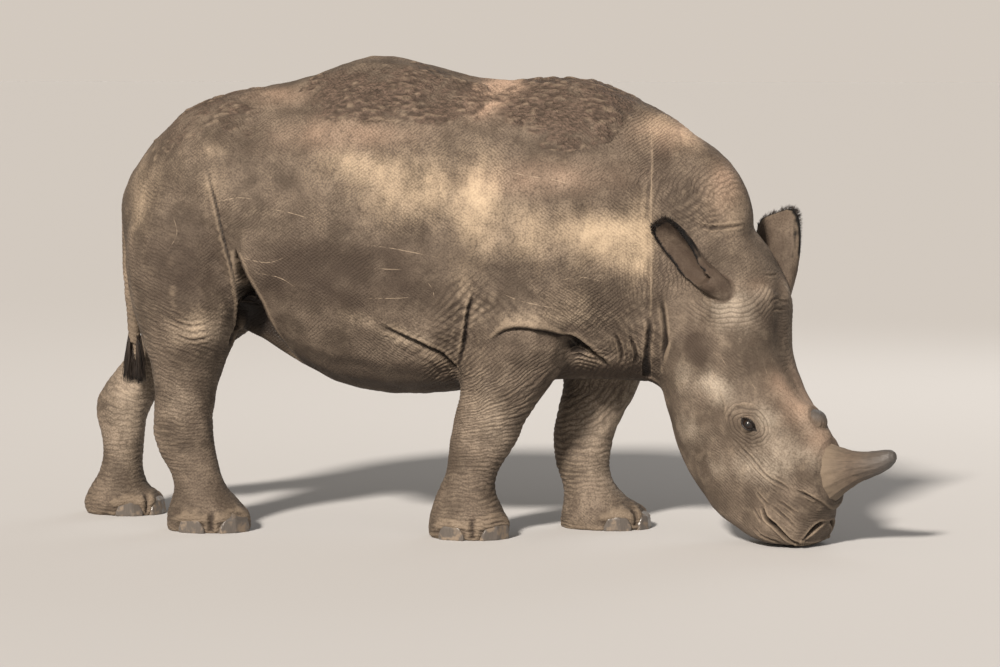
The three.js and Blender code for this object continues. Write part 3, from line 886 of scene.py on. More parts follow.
for side, way in ((RIGHT, EAR_LONG), (LEFT, LEFT_EAR_LONG)):
    stretched = points - 0.85 * (points @ way)[:, None] * way
    ear_ridges = noise(stretched, 13 * MM, 37) + 0.5 * noise(stretched, 7 * MM, 38)
    this_ear = points[:, 1] * side > (0.08 if side == RIGHT else -0.02)
    lift += 0.9 * MM * ear_ridges * on_ear * this_ear
for size, height, calmer_face, seed in ((0.09, 3.0, 0.6, 31), (0.035, 1.3, 0.5, 33)):
    uneven = height * MM * noise(points, size, seed)
    lift += uneven * (1 - calmer_face * in_head) * (1 - lid_share) * (1 - on_ear)
settle()
points[:, 2] = np.maximum(points[:, 2], 0.3 * MM)  # nothing sinks into the floor
set_points(base, points)
print("wrinkles", round(float(relief.min()), 2), "to", round(float(relief.max()), 2))

# %% [markdown]
# ## Materials
#
# A shader is a small network of nodes. One function adds a node, sets its values and links its inputs, so
# a material reads from top to bottom like a recipe. Colours are given as the sRGB hex values of a colour
# picker, and turned to the linear values that a renderer adds and multiplies.


# %% Nodes and colours
def linear(code, alpha=1.0):
    """An sRGB hex colour as linear red, green, blue and alpha."""
    parts = [int(code[i:i + 2], 16) / 255 for i in (0, 2, 4)]
    return tuple(c / 12.92 if c <= 0.04045 else ((c + 0.055) / 1.055) ** 2.4 for c in parts) + (alpha,)


def fill(node, inputs):
    """Sets a node's inputs, or links those whose value is another node's output."""
    for key, value in inputs.items():
        if isinstance(value, bpy.types.NodeSocket):
            node.id_data.links.new(value, node.inputs[key])
        else:
            node.inputs[key].default_value = value


def add(tree, kind, *inputs, **settings):
    """A new node with its settings, and its inputs in order or in a dictionary. Returns its outputs."""
    node = tree.nodes.new("ShaderNode" + kind)
    for name, value in settings.items():
        setattr(node, name, value)
    fill(node, inputs[0] if inputs and isinstance(inputs[0], dict) else dict(enumerate(inputs)))
    return node.outputs


# Settings that many nodes share: the sum that a Math node does, a smooth range, and a mix of colours.
TIMES = {"operation": "MULTIPLY"}
TIMES_PLUS = {"operation": "MULTIPLY_ADD"}
MINUS = {"operation": "SUBTRACT"}
SMOOTH = {"interpolation_type": "SMOOTHSTEP"}
COLOUR = {"data_type": "RGBA"}  # inputs 0, 6 and 7 are the share and two colours, output 2 is their mix


def new_material(name):
    """An empty material, its nodes and its surface shader."""
    material = bpy.data.materials.new(name)
    material.use_nodes = True
    return material, material.node_tree, material.node_tree.nodes["Principled BSDF"]


def finished(name, mesh, material, slot, *replaced):
    """A piece of the model: a mesh with its material, riding on the animal and standing for these nodes."""
    piece = bpy.data.objects.new(name, mesh)
    bpy.context.scene.collection.objects.link(piece)
    mesh.materials.clear()
    mesh.materials.append(material)
    mesh.polygons.foreach_set("use_smooth", [True] * len(mesh.polygons))
    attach(piece, "root")
    if replaced:
        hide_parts(*replaced)
    return piece


print("middle grey is", round(linear("808080")[0], 3), "of white to a renderer")

# %% [markdown]
# ## Floor and studio
#
# A matt pale floor that runs out of sight needs no backdrop. The world is brighter near the horizon than
# overhead, so the floor fades into it without an edge, and its light reaches under the belly.

# %% Floor
FLOOR_REACH = 300.0
floor_corners = [(a * FLOOR_REACH, b * FLOOR_REACH, 0) for a, b in ((-1, -1), (1, -1), (1, 1), (-1, 1))]
floor_mesh = bpy.data.meshes.new("floor")
floor_mesh.from_pydata(floor_corners, [], [(0, 1, 2, 3)])
floor = bpy.data.objects.new("floor", floor_mesh)
bpy.context.scene.collection.objects.link(floor)
floor_paint, tree, shader = new_material("pale_matt_floor")
fill(shader, {"Base Color": linear("C0C0C0"), "Roughness": 0.9, "Specular IOR Level": 0.2})
floor_mesh.materials.append(floor_paint)
print("floor", 2 * FLOOR_REACH, "m wide")

# %% Studio
world = bpy.data.worlds.new("studio")
bpy.context.scene.world = world
world.use_nodes = True
sky = world.node_tree
upward = add(sky, "SeparateXYZ", add(sky, "TexCoord")["Generated"])["Z"]
strength = add(sky, "MapRange", upward, 0.05, 0.55, 0.85, 0.28)["Result"]
fill(sky.nodes["Background"], {"Color": linear("E2D8CD"), "Strength": strength})
bpy.context.scene.view_settings.view_transform = "Standard"
print("world made of", len(sky.nodes), "nodes")

# %% [markdown]
# ## Lamps
#
# One broad warm sun models the folds, and two large soft lamps keep the face and the far edge from going
# black. A wide sun angle softens the shadow's edge as a big softbox would.


# %% Lamps
def lamp(name, kind, place, colour, power, **settings):
    """A lamp that faces the middle of the animal."""
    data = bpy.data.lights.new(name, kind)
    data.color = linear(colour)[:3]
    data.energy = power
    for setting, value in settings.items():
        setattr(data, setting, value)
    holder = bpy.data.objects.new(name, data)
    holder.location = place
    holder.rotation_euler = (Vector((0, 0, 0.8)) - Vector(place)).to_track_quat("-Z", "Y").to_euler()
    bpy.context.scene.collection.objects.link(holder)


lamp("key", "SUN", (-1.5, -7.4, 5.4), "FFF4E8", 5.85, angle=math.radians(7))
lamp("fill", "AREA", (6.0, -6.0, 3.0), "E8EEFF", 60, size=5.0)
lamp("rim", "AREA", (2.0, 6.5, 5.0), "FFFFFF", 100, size=4.0)

# %% [markdown]
# ## Dust, mud and stains
#
# The hide itself is a dull grey brown. What makes it look alive is what lies on it: pale dust on the
# shoulder and the ribs where it rolls, dried mud that cracks along the back, damp belly and throat under
# painted shade, and scratches from thorns. Each of these is a share from 0 to 1 on the points of the mesh,
# laid as soft patches, so that the material can break its edge up with grain that is finer than the mesh.


# %% Dust
def face_patch(spots):
    """Soft spots on the face, each given as x, y, z and radius in millimetres, and its strength."""
    total = np.zeros(len(points))
    for px, py, pz, radius, strength in spots:
        total += strength * np.exp(-(((local - (px, py, pz)) / radius) ** 2).sum(axis=1))
    return np.clip(total * in_head, 0, 1)


DUST = [
    (-0.36, 1.245, 0.13, 0.05, 0.35), (-0.24, 1.214, 0.12, 0.05, 0.38), (-0.17, 1.118, 0.12, 0.09, 0.40),
    (-0.04, 1.150, 0.10, 0.10, 0.42), (0.087, 1.183, 0.05, 0.10, 0.4), (0.138, 1.151, 0.05, 0.09, 0.4),
    (0.061, 1.055, 0.05, 0.12, 0.6), (0.128, 0.991, 0.05, 0.08, 0.35), (0.239, 1.007, 0.06, 0.10, 0.5),
    (0.443, 1.007, 0.12, 0.07, 0.62), (0.536, 0.974, 0.08, 0.08, 0.6), (0.598, 1.038, 0.05, 0.12, 0.5),
    (0.598, 0.925, 0.05, 0.12, 0.5), (0.393, 0.796, 0.10, 0.06, 0.3), (-0.801, 1.144, 0.04, 0.09, 0.3),
    (-0.812, 1.275, 0.05, 0.03, 0.3), (-1.092, 1.105, 0.06, 0.12, 0.45), (0.633, 1.358, 0.07, 0.06, 0.6),
    (0.726, 1.325, 0.08, 0.06, 0.5), (-0.889, 0.682, 0.09, 0.05, 0.55), (-0.827, 0.715, 0.07, 0.06, 0.5),
    (0.12, 0.40, 0.12, 0.16, 0.55), (0.45, 0.32, 0.16, 0.26, 0.65), (-1.25, 0.38, 0.11, 0.25, 0.75),
    (0.42, 0.98, 0.20, 0.14, 0.30), (-0.16, 1.16, 0.34, 0.16, 0.26), (-0.98, 1.18, 0.12, 0.14, 0.18),
    (-0.947, 0.443, 0.07, 0.10, 0.4), (0.30, 0.735, 0.20, 0.03, 0.55), (-0.35, 0.735, 0.05, 0.03, 0.5),
    (-0.28, 0.715, 0.05, 0.03, 0.5), (-0.20, 0.690, 0.05, 0.03, 0.55), (-0.12, 0.665, 0.05, 0.025, 0.55),
    (-0.18, 0.655, 0.08, 0.02, 0.5), (0.05, 0.86, 0.04, 0.10, 0.35), (0.86, 1.10, 0.10, 0.10, 0.35)]
FACE_DUST = [
    (150, 150, -60, 90, 0.62), (60, 175, -320, 50, 0.7), (25, 178, -275, 34, 0.6),
    (178, 136, -430, 45, 0.7), (200, 120, -560, 80, 0.5), (120, 140, -600, 70, 0.35),
    (-60, 180, -250, 70, 0.5), (-120, 150, -420, 80, 0.45), (230, 70, -20, 40, 0.5),
    (60, 160, -560, 50, 0.4), (260, 30, -480, 50, 0.4), (-40, 130, -560, 50, 0.35),
    (290, 60, -600, 50, 0.4)]
dust = patch(DUST, body_only) + face_patch(FACE_DUST)
print("dusty points", int((dust > 0.4).sum()))

# %% [markdown]
# ## Mud
#
# Wet mud sticks to the back and dries there in lumps of about a centimetre, longer than high. Colour
# alone would look like paint, so the mud lifts the mesh as well, most where it lies in clusters.

# %% Mud
MUD = [
    (-0.459, 1.488, 0.12, 0.05, 0.7), (-0.338, 1.439, 0.14, 0.05, 0.9), (-0.228, 1.500, 0.16, 0.06, 0.9),
    (-0.110, 1.439, 0.14, 0.06, 0.9), (0.000, 1.430, 0.10, 0.06, 0.8), (-0.196, 1.400, 0.18, 0.03, 0.7),
    (-0.400, 1.395, 0.10, 0.03, 0.5), (0.210, 1.456, 0.08, 0.07, 0.8), (0.304, 1.472, 0.12, 0.08, 0.9),
    (0.436, 1.456, 0.12, 0.07, 0.8), (0.260, 1.375, 0.09, 0.05, 0.7), (0.394, 1.343, 0.11, 0.06, 0.8),
    (0.481, 1.391, 0.08, 0.07, 0.6), (0.335, 1.295, 0.08, 0.03, 0.5), (-0.85, 1.43, 0.16, 0.08, 0.7),
    (-0.70, 1.33, 0.10, 0.04, 0.35), (-1.00, 1.32, 0.12, 0.10, 0.6)]
LUMP = 13 * MM
FILM, LUMP_HEIGHT = 1.0, 5.0  # mm
mud = patch(MUD, body_only) * ramp(normals[:, 2], -0.1, 0.25)
clusters = ramp(noise(points, 0.09, 61) + 0.5 * noise(points, 0.04, 62), -0.5, 0.2)
lumps = ramp(noise(points * (0.5, 1, 1), LUMP, 63), -0.6, 0.7)
crust = ramp(mud + 0.4 * noise(points, 0.04, 64), 0.35, 0.60)
lift += MM * crust * (FILM + LUMP_HEIGHT * clusters * lumps)
# painted shade in the gaps between mud lumps
mud_gap_shade = crust * clusters * ramp(lumps, 0.35, 0.05)
mud = np.maximum(mud, 0.8 * crust * clusters)
settle()
print("muddy points", int((mud > 0.5).sum()))

# %% [markdown]
# ## Damp skin, painted shade and pink skin
#
# The belly, the throat and the skin behind the elbow are dark, partly damp and partly painted shade, and
# every underside and the gap before the thigh get painted shade. Where mud has flaked off and where the
# hide is rubbed, it is pinkish. Noise then makes all four shares uneven.

# %% Damp skin, painted shade and pink skin
DARK = [
    (-0.504, 0.952, 0.12, 0.07, 0.6), (-0.333, 0.922, 0.16, 0.07, 0.7), (-0.100, 0.957, 0.16, 0.06, 0.65),
    (-0.58, 0.86, 0.10, 0.09, 0.7), (-0.40, 0.82, 0.14, 0.08, 0.75), (-0.20, 0.83, 0.16, 0.08, 0.7),
    (-0.90, 0.85, 0.12, 0.13, 0.7), (0.45, 0.555, 0.12, 0.03, 0.8), (-0.82, 1.00, 0.07, 0.14, 0.4),
    (-0.02, 0.80, 0.06, 0.08, 0.4), (0.063, 0.926, 0.05, 0.06, 0.4), (-0.507, 1.115, 0.10, 0.06, 0.35),
    (-0.661, 1.275, 0.06, 0.06, 0.4), (-0.95, 0.95, 0.14, 0.12, 0.6), (0.30, 1.17, 0.16, 0.08, 0.35),
    (0.20, 0.86, 0.12, 0.06, 0.4), (-0.70, 0.75, 0.10, 0.16, 0.4), (0.66, 1.26, 0.04, 0.14, 0.6),
    (0.645, 0.80, 0.03, 0.25, 0.6), (0.16, 0.62, 0.10, 0.07, 0.4), (-1.15, 1.0, 0.05, 0.12, 0.4),
    (0.90, 1.16, 0.04, 0.07, 0.6)]
FACE_DARK = [
    (5, 183, -150, 54, 1.5), (20, 176, -205, 38, 0.8), (228, 20, -170, 52, 0.75), (215, 60, -110, 40, 0.5),
    (110, 165, -330, 50, 0.5), (235, 90, -440, 50, 0.4), (150, 150, -250, 55, 0.45),
    (0, 150, -480, 60, 0.4), (60, 140, -680, 60, 0.35), (230, 90, -760, 50, 0.35),
    (100, 130, -790, 40, 0.4), (-60, 150, -620, 40, 0.4)]
PINK = [
    (0.103, 1.472, 0.07, 0.06, 1.3), (0.053, 1.430, 0.05, 0.04, 1.0), (0.68, 1.34, 0.10, 0.05, 0.7),
    (-0.65, 1.45, 0.12, 0.03, 0.4), (0.85, 1.16, 0.05, 0.08, 0.5), (-0.36, 1.33, 0.20, 0.05, 0.5),
    (0.30, 1.19, 0.20, 0.05, 0.4)]
FACE_PINK = [
    (225, 60, -330, 55, 0.35), (240, 40, -430, 60, 0.4), (210, 70, 10, 50, 0.35), (300, 40, -540, 50, 0.3)]
# painted shade on every underside, by how much the skin faces down
underside_shade = ramp(normals[:, 2], -0.35, -0.85) * body_only
dark = patch(DARK, body_only) + 0.9 * underside_shade + wedge_shade * body_only + face_patch(FACE_DARK)
pink = patch(PINK, body_only) + face_patch(FACE_PINK)
for share, seed, uneven in ((dust, 41, 0.45), (mud, 43, 1.0), (dark, 45, 0.8), (pink, 47, 1.0)):
    spots = 0.35 * noise(points, 0.06, seed) + 0.15 * noise(points, 0.02, seed + 1)
    share *= 0.8 + uneven * spots
print("dark points", int((dark > 0.5).sum()), "and pink points", int((pink > 0.4).sum()))

# %% [markdown]
# ## Hollows, crests and rims
#
# Hollows get painted shade, and crests are lighter, partly from wear and partly as a painted highlight.
# Comparing the skin with a much smoother copy of itself says how sunk each point is, which is what a
# cavity map holds. How sharply the skin bends finds the ears' rims.

# %% Hollows, crests and rims
bent = ((points - neighbour_mean(points, edges)) * normals).sum(axis=1)
for _ in range(2):
    bent = neighbour_mean(bent[:, None], edges)[:, 0]
ear_rim = on_ear * ramp(bent, 0.10 * MM, 0.26 * MM)

broad = points
for _ in range(12):
    broad = broad + 0.9 * (neighbour_mean(broad, edges) - broad)
sunk = ((broad - points) * normals).sum(axis=1)
# how much painted shade a point in a hollow gets, and how much lighter a crest is
hollow = ramp(sunk, 0.3 * MM, 4.5 * MM)
crest = ramp(sunk, -0.3 * MM, -2.5 * MM)

# bare wet skin round the eyes, and painted shade in the folds, nostrils, mouth, wedge, the pocket before
# the arm, the horns' feet and the face's deep hollows
bare_and_shade = np.zeros(len(points))
for share in (close * ramp(margin, 1.5, -1.0), nostril, 0.75 * wedge_shade, 0.8 * fold_shade,
              0.25 * ramp(np.minimum(horn_gap, knob_gap), 5 * MM, 1 * MM),
              patch([(0.380, 0.652, 0.026, 0.026, 0.9)], np.abs(y) > 0.15),
              in_head * ramp(sunk, 2.0 * MM, 5.0 * MM)):
    bare_and_shade = np.maximum(bare_and_shade, share)
print("ear rim points", int((ear_rim > 0.5).sum()), "deep points", int((hollow > 0.8).sum()))

# %% [markdown]
# ## Scratches
#
# Thorns leave thin pale lines, which are too fine for the points of the mesh. The distance across each
# line is smooth, though, so that is what the mesh keeps, and the material draws the sharp line from it.

# %% Scratches
SCRATCHES = [
    [(-0.80, 1.105), (-0.72, 1.12), (-0.66, 1.115)], [(-0.62, 1.085), (-0.55, 1.075), (-0.47, 1.055)],
    [(-0.73, 0.93), (-0.67, 0.915), (-0.61, 0.91), (-0.55, 0.93)],
    [(-0.66, 0.875), (-0.58, 0.86), (-0.52, 0.83)], [(-0.30, 0.80), (-0.20, 0.80), (-0.12, 0.805)],
    [(-0.30, 0.90), (-0.22, 0.895), (-0.15, 0.893)],
    [(0.13, 1.23), (0.22, 1.20), (0.33, 1.18), (0.40, 1.16)],
    [(-0.30, 0.975), (-0.18, 0.96), (-0.02, 0.93)], [(-0.08, 0.86), (-0.06, 0.83), (-0.055, 0.80)],
    [(0.16, 0.82), (0.24, 0.79), (0.34, 0.77)], [(-0.95, 1.06), (-0.93, 1.00), (-0.96, 0.94)],
    [(0.33, 0.86), (0.42, 0.87), (0.50, 0.85)]]
FACE_SCRATCHES = [
    [(20, -182, -230), (28, -180, -280), (30, -178, -330)], [(45, -180, -240), (52, -178, -300)],
    [(80, -172, -200), (95, -170, -250)], [(150, -150, -300), (165, -145, -340), (170, -140, -390)],
    [(200, -110, -250), (210, -105, -300)], [(150, -130, -560), (165, -128, -600)],
    [(190, -115, -520), (215, -105, -545)], [(10, -180, -400), (22, -176, -450), (26, -170, -500)]]
NARROW = 16 * MM
scratch_way = np.zeros(len(points))
scratch_share = np.zeros(len(points))
for side in (RIGHT, LEFT):
    strokes = [(flank(marks, side), 1.0) for marks in SCRATCHES]
    strokes += [(face(marks, side), 0.4) for marks in FACE_SCRATCHES]
    strokes.append((flank(NECK_FOLD[1:7], side), 0.55))  # a pale line along the edge of the neck's fold
    for stroke, clear in strokes:
        near, distance, fade = near_stroke(stroke, NARROW)
        scratch_way[near] = distance
        scratch_share[near] = clear * fade * ramp(np.abs(distance), 0.9 * NARROW, 0.5 * NARROW)
print("scratches", len(strokes), "on each side")

# %% [markdown]
# ## Keep the patterns on the mesh
#
# A material can read any values that the mesh's points carry. They are kept three at a time as vectors,
# which is all that a shader needs, and they move with the mesh wherever it is exported.

# %% Keep the patterns on the mesh
calm = 0.45 + 0.55 * rough
near_ear = ramp(y, -0.12, -0.20)
patterns = {
    "body_ways": (up_way, down_way, ring_way),
    "body_shares": (cross_share * calm * patchy(0.15, 51) * off_ear,
                    cross_share * calm * patchy(0.15, 53) * off_ear,
                    ring_share * patchy(0.12, 56, 0.6)),
    "face_ways": (side_way, face_way),
    "face_shares": (side_share * off_ear * patchy(0.15, 55),
                    0.6 * face_share * patchy(0.1, 57, 0.3) * off_ear),
    "cover_and_shade": (dust, mud, dark),
    "stains_and_shade": (pink, bare_and_shade, np.clip(ear_rim, 0, 1)),
    # painted shade in the mesh's wrinkle valleys and in the gaps between mud lumps
    "cut": (np.maximum(ramp(relief, 0.85, 0.35) * off_ear, mud_gap_shade),),
    "form": (hollow, crest, on_ear * (0.45 + 0.55 * near_ear)),
    "scratch": (scratch_way, scratch_share, in_head)}
for name, columns in patterns.items():
    values = np.zeros((len(points), 3), np.float32)
    values[:, :len(columns)] = np.column_stack(columns)
    base.attributes.new(name, "FLOAT_VECTOR", "POINT").data.foreach_set("vector", values.ravel())
print("patterns kept", list(patterns))

# %% [markdown]
# ## Hide
#
# The hide is dry, nearly hairless skin, matt like unglazed clay. The real grain goes on down to one
# millimetre, which is too fine to show at this size, so its pebbles are drawn 6 mm across, between
# wrinkles 9.5 and 13 mm apart. Dust stays on the ridges and the valleys get painted shade, so the height
# that drives the bump also drives the colour.

# %% Kept patterns and noises of the hide
WRINKLE = 9.5  # mm between the fine wrinkles of the barrel and the face
RING = 13.0    # mm between those round the legs
GRAIN = 6.0    # mm across a pebble of the hide
CRACK = 24.0   # mm between the cracks in dried mud
NOISES = {     # lumps this many millimetres wide, with this much finer detail, and stretched by this
    "wander": (60, 3.0, None), "bend": (40, 2.0, None), "fine": (5, 3.0, None),
    "blotch": (110, 4.0, None), "mottle": (34, 5.0, None), "ragged": (30, 5.0, None),
    "crusted": (75, 3.0, None), "broken": (25, 2.0, None),
    "streak": (30, 4.0, (1.0, 1.0, 0.3)), "crumbs": (9, 3.0, (0.45, 1.0, 1.0))}

hide, tree, shader = new_material("dry_dusty_hide")
place = add(tree, "TexCoord")["Object"]
kept = {}
for name in patterns:
    kept[name] = add(tree, "SeparateXYZ", add(tree, "Attribute", attribute_name=name)["Vector"])
noises = {}
for name, (size, detail, stretch) in NOISES.items():
    at = add(tree, "Mapping", {"Vector": place, "Scale": stretch})["Vector"] if stretch else place
    noises[name] = add(tree, "TexNoise", {"Vector": at, "Scale": 1000 / size, "Detail": detail})
fine, blotch, mottle, streak, crumbs = (noises[name]["Fac"] for name in
                                        ("fine", "blotch", "mottle", "streak", "crumbs"))
dust_here, mud_cover, damp_and_shade_here = kept["cover_and_shade"]
line_way, line_share, in_face = kept["scratch"]
print("patterns", len(kept), "and noises", len(noises))

# %% [markdown]
# ## Fine wrinkles and pebbles
#
# The same ways that lifted the mesh now draw wrinkles half as wide, so the two always run together.
# Wandering noise bends them. Between them the hide is cobbled with round pebbles, which are the cells of
# a Voronoi pattern.


# %% Fine wrinkles and pebbles
def ridges(way, share, shift, spacing):
    """Rounded ridges with narrow valleys where the share is 1, and an even 1 where it is 0."""
    moved = add(tree, "Math", shift, 3.0 * spacing * MM, way, **TIMES_PLUS)[0]
    turns = add(tree, "Math", moved, math.pi / (spacing * MM), **TIMES)[0]
    wave = add(tree, "Math", add(tree, "Math", turns, operation="SINE")[0], operation="ABSOLUTE")[0]
    valley = add(tree, "Math", 1.0, add(tree, "Math", wave, 0.6, operation="POWER")[0], **MINUS)[0]
    return add(tree, "Math", 1.0, add(tree, "Math", valley, share, **TIMES)[0], **MINUS)[0]


wander = add(tree, "SeparateXYZ", noises["wander"]["Color"])
body, face_sets = (kept["body_ways"], kept["body_shares"]), (kept["face_ways"], kept["face_shares"])
wrinkles = ridges(body[0][0], body[1][0], wander[0], WRINKLE)
for (ways, shares), column, shift, spacing in ((body, 1, 1, WRINKLE), (body, 2, 2, RING),
                                               (face_sets, 0, 0, RING), (face_sets, 1, 1, WRINKLE)):
    more = ridges(ways[column], shares[column], wander[shift], spacing)
    wrinkles = add(tree, "Math", wrinkles, more, **TIMES)[0]
cells = add(tree, "TexVoronoi", {"Vector": place, "Scale": 1000 / GRAIN})["Distance"]
pebbles = add(tree, "Math", 1.0, cells, **MINUS)[0]
print("hide has", len(tree.nodes), "nodes so far")

# %% [markdown]
# ## Cracked mud
#
# Mud covers the skin where its share, roughened by noise, is high enough. As it dries it shrinks and
# cracks into plates, which are the cells of a second Voronoi pattern, bent so that no crack is straight.

# %% Cracked mud
ragged = add(tree, "Math", noises["ragged"]["Fac"], 0.5, **MINUS)[0]
ragged = add(tree, "Math", ragged, 1.3, mud_cover, **TIMES_PLUS)[0]
mud_here = add(tree, "MapRange", ragged, 0.25, 0.80, **SMOOTH)[0]
bend = add(tree, "VectorMath", {0: noises["bend"]["Color"], "Scale": 0.03}, operation="SCALE")[0]
bend = add(tree, "VectorMath", bend, place, operation="ADD")[0]
cracks = add(tree, "TexVoronoi", {"Vector": bend, "Scale": 1000 / CRACK}, feature="DISTANCE_TO_EDGE")
plates = add(tree, "MapRange", cracks["Distance"], 0.0, 0.16, **SMOOTH)[0]
crusted = add(tree, "MapRange", noises["crusted"]["Fac"], 0.46, 0.60, **SMOOTH)[0]
whole = add(tree, "Math", 1.0, crusted, **MINUS)[0]
plates = add(tree, "Math", plates, whole, operation="MAXIMUM")[0]
print("cracks", CRACK, "mm apart")

# %% [markdown]
# ## The hide's height
#
# All that stands up from the skin is added in millimetres and goes into one bump node. The face is
# smoother than the body, and dust fills the grain.

# %% The hide's height
WRINKLE_HIGH, PEBBLE_HIGH, FINE_HIGH = 2.6, 1.0, 0.5  # mm
PLATE_HIGH, CRUMB_HIGH = 2.5, 3.5
plain = add(tree, "Math", in_face, -0.30, 1.0, **TIMES_PLUS)[0]
filled = add(tree, "Math", dust_here, -0.5, 1.0, **TIMES_PLUS)[0]
height = add(tree, "Math", wrinkles, add(tree, "Math", filled, WRINKLE_HIGH, **TIMES)[0], **TIMES)[0]
grain = add(tree, "Math", add(tree, "Math", plain, filled, **TIMES)[0], PEBBLE_HIGH, **TIMES)[0]
height = add(tree, "Math", pebbles, grain, height, **TIMES_PLUS)[0]
height = add(tree, "Math", fine, FINE_HIGH, height, **TIMES_PLUS)[0]
mud_height = add(tree, "Math", crumbs, CRUMB_HIGH, **TIMES)[0]
mud_height = add(tree, "Math", plates, PLATE_HIGH, mud_height, **TIMES_PLUS)[0]
height = add(tree, "Math", height, add(tree, "Math", mud_height, mud_here, **TIMES)[0], operation="ADD")[0]
bump = add(tree, "Bump", {"Strength": 1.0, "Distance": MM, "Height": height})["Normal"]
print("mud stands up to", PLATE_HIGH + CRUMB_HIGH, "mm more")

# %% [markdown]
# ## The hide's colours
#
# The colours are laid over each other as a painter would: grey brown skin, then dust, worn and stained
# specks, damp skin and painted shade, pink skin and mud, then painted shade in the valleys and hollows and
# lighter crests, and last the scratches, the dark ears, and bare skin and painted shade in the deepest
# places.
# Each layer is a share and a colour, so one loop can mix them all.

# %% Shares of dust, wear and dark
on_ridge = add(tree, "Math", wrinkles, pebbles, **TIMES)[0]
on_ridge = add(tree, "MapRange", on_ridge, -0.10, 0.70, **SMOOTH)[0]
smooth_face = add(tree, "Math", in_face, -0.35, 1.0, **TIMES_PLUS)[0]
blotchy, specks, streaky = (add(tree, "Math", socket, 0.5, **MINUS)[0] for socket in (blotch, fine, streak))
dusty = add(tree, "Math", blotchy, 0.4, dust_here, **TIMES_PLUS)[0]
dusty = add(tree, "Math", add(tree, "Math", specks, smooth_face, **TIMES)[0], 0.12, dusty, **TIMES_PLUS)[0]
dusty = add(tree, "Math", streaky, 0.42, dusty, **TIMES_PLUS)[0]
dusty = add(tree, "Math", on_ridge, 0.12, dusty, **TIMES_PLUS)[0]
dusty = add(tree, "MapRange", dusty, 0.10, 1.25, **SMOOTH)[0]

worn = add(tree, "Math", in_face, 0.03, 0.10, **TIMES_PLUS)[0]
worn = add(tree, "Math", add(tree, "MapRange", mottle, 0.48, 0.72, **SMOOTH)[0], worn, **TIMES)[0]
stained = add(tree, "Math", in_face, -0.02, 0.15, **TIMES_PLUS)[0]
stained = add(tree, "Math", add(tree, "MapRange", mottle, 0.52, 0.30, **SMOOTH)[0], stained, **TIMES)[0]
# painted shade in the valleys between wrinkles and pebbles, less on the face and where dust fills them
valley = add(tree, "Math", add(tree, "Math", 1.0, on_ridge, **MINUS)[0], 0.6, **TIMES)[0]
valley = add(tree, "Math", valley, smooth_face, **TIMES)[0]
valley = add(tree, "Math", valley, add(tree, "Math", dusty, -0.8, 1.0, **TIMES_PLUS)[0], **TIMES)[0]
# painted shade from the mesh's wrinkle valleys and the gaps between mud lumps
cut = add(tree, "Math", kept["cut"][0], 0.5, **TIMES)[0]
valley = add(tree, "Math", valley, cut, operation="MAXIMUM")[0]

line = add(tree, "Math", line_way, operation="ABSOLUTE")[0]
line = add(tree, "MapRange", line, 1.8 * MM, 0.4 * MM, **SMOOTH)[0]
line = add(tree, "Math", line, line_share, **TIMES)[0]
broken = add(tree, "MapRange", noises["broken"]["Fac"], 0.35, 0.65, 0.0, 0.45, **SMOOTH)[0]
line = add(tree, "Math", line, broken, **TIMES)[0]
damp_and_shade = add(tree, "MapRange", damp_and_shade_here, 0.0, 1.0, 0.0, 0.92, **SMOOTH)[0]
ear_dark = add(tree, "MapRange", streak, 0.25, 0.75, 0.9, 0.5, **SMOOTH)[0]
ear_dark = add(tree, "Math", kept["form"][2], ear_dark, **TIMES)[0]
print("hide has", len(tree.nodes), "nodes so far")

# %% Lay the hide's colours
rosy, mud_thick, hollow_shade, crest_wear_and_highlight = (
    add(tree, "Math", socket, strong, **TIMES)[0] for socket, strong in
    ((kept["stains_and_shade"][0], 0.8), (mud_here, 0.85), (kept["form"][0], 0.8), (kept["form"][1], 0.2)))
upward = add(tree, "SeparateXYZ", place)["Z"]
low_or_high = add(tree, "MapRange", upward, 0.55, 0.90, **SMOOTH)[0]
crumbly = add(tree, "MapRange", crumbs, 0.35, 0.65, **SMOOTH)[0]
in_blotch = add(tree, "MapRange", blotch, 0.35, 0.65, **SMOOTH)[0]
dust_colour = add(tree, "Mix", {0: low_or_high, 6: linear("B2A391"), 7: linear("BAA68C")}, **COLOUR)[2]
dust_colour = add(tree, "Mix", {0: in_face, 6: dust_colour, 7: linear("B8AC9B")}, **COLOUR)[2]
mud_colour = add(tree, "Mix", {0: crumbly, 6: linear("43382F"), 7: linear("66554A")}, **COLOUR)[2]
colour = add(tree, "Mix", {0: in_blotch, 6: linear("4F453B"), 7: linear("695D51")}, **COLOUR)[2]
layers = [(dusty, dust_colour),                   # dust
          (worn, linear("BAA892")),               # worn specks
          (stained, linear("4A3D33")),            # stains
          (damp_and_shade, linear("3C322A")),               # damp skin, and painted shade on undersides and in the wedge
          (rosy, linear("CFB098")),               # pink skin
          (mud_thick, mud_colour),                # mud
          (valley, linear("2E2620")),             # painted shade in the valleys between the wrinkles and the mud lumps
          (hollow_shade, linear("2A221D")),             # painted shade in folds and hollows
          (crest_wear_and_highlight, linear("B5A28B")),             # crests: rubbed wear and painted highlight
          (line, linear("C2AF97")),               # scratches
          (ear_dark, linear("463A31")),           # ears
          (kept["stains_and_shade"][1], linear("1A1512")),   # bare wet skin, and painted shade in folds, nostrils and hollows
          (kept["stains_and_shade"][2], linear("0C0A09"))]   # rims of the ears: black of the hair fringe, and painted shade along the rim
for share, over in layers:
    colour = add(tree, "Mix", {0: share, 6: colour, 7: over}, **COLOUR)[2]
matt = add(tree, "MapRange", kept["stains_and_shade"][1], 0.0, 1.0, 0.78, 0.45, **SMOOTH)[0]
fill(shader, {"Base Color": colour, "Roughness": matt, "Normal": bump})
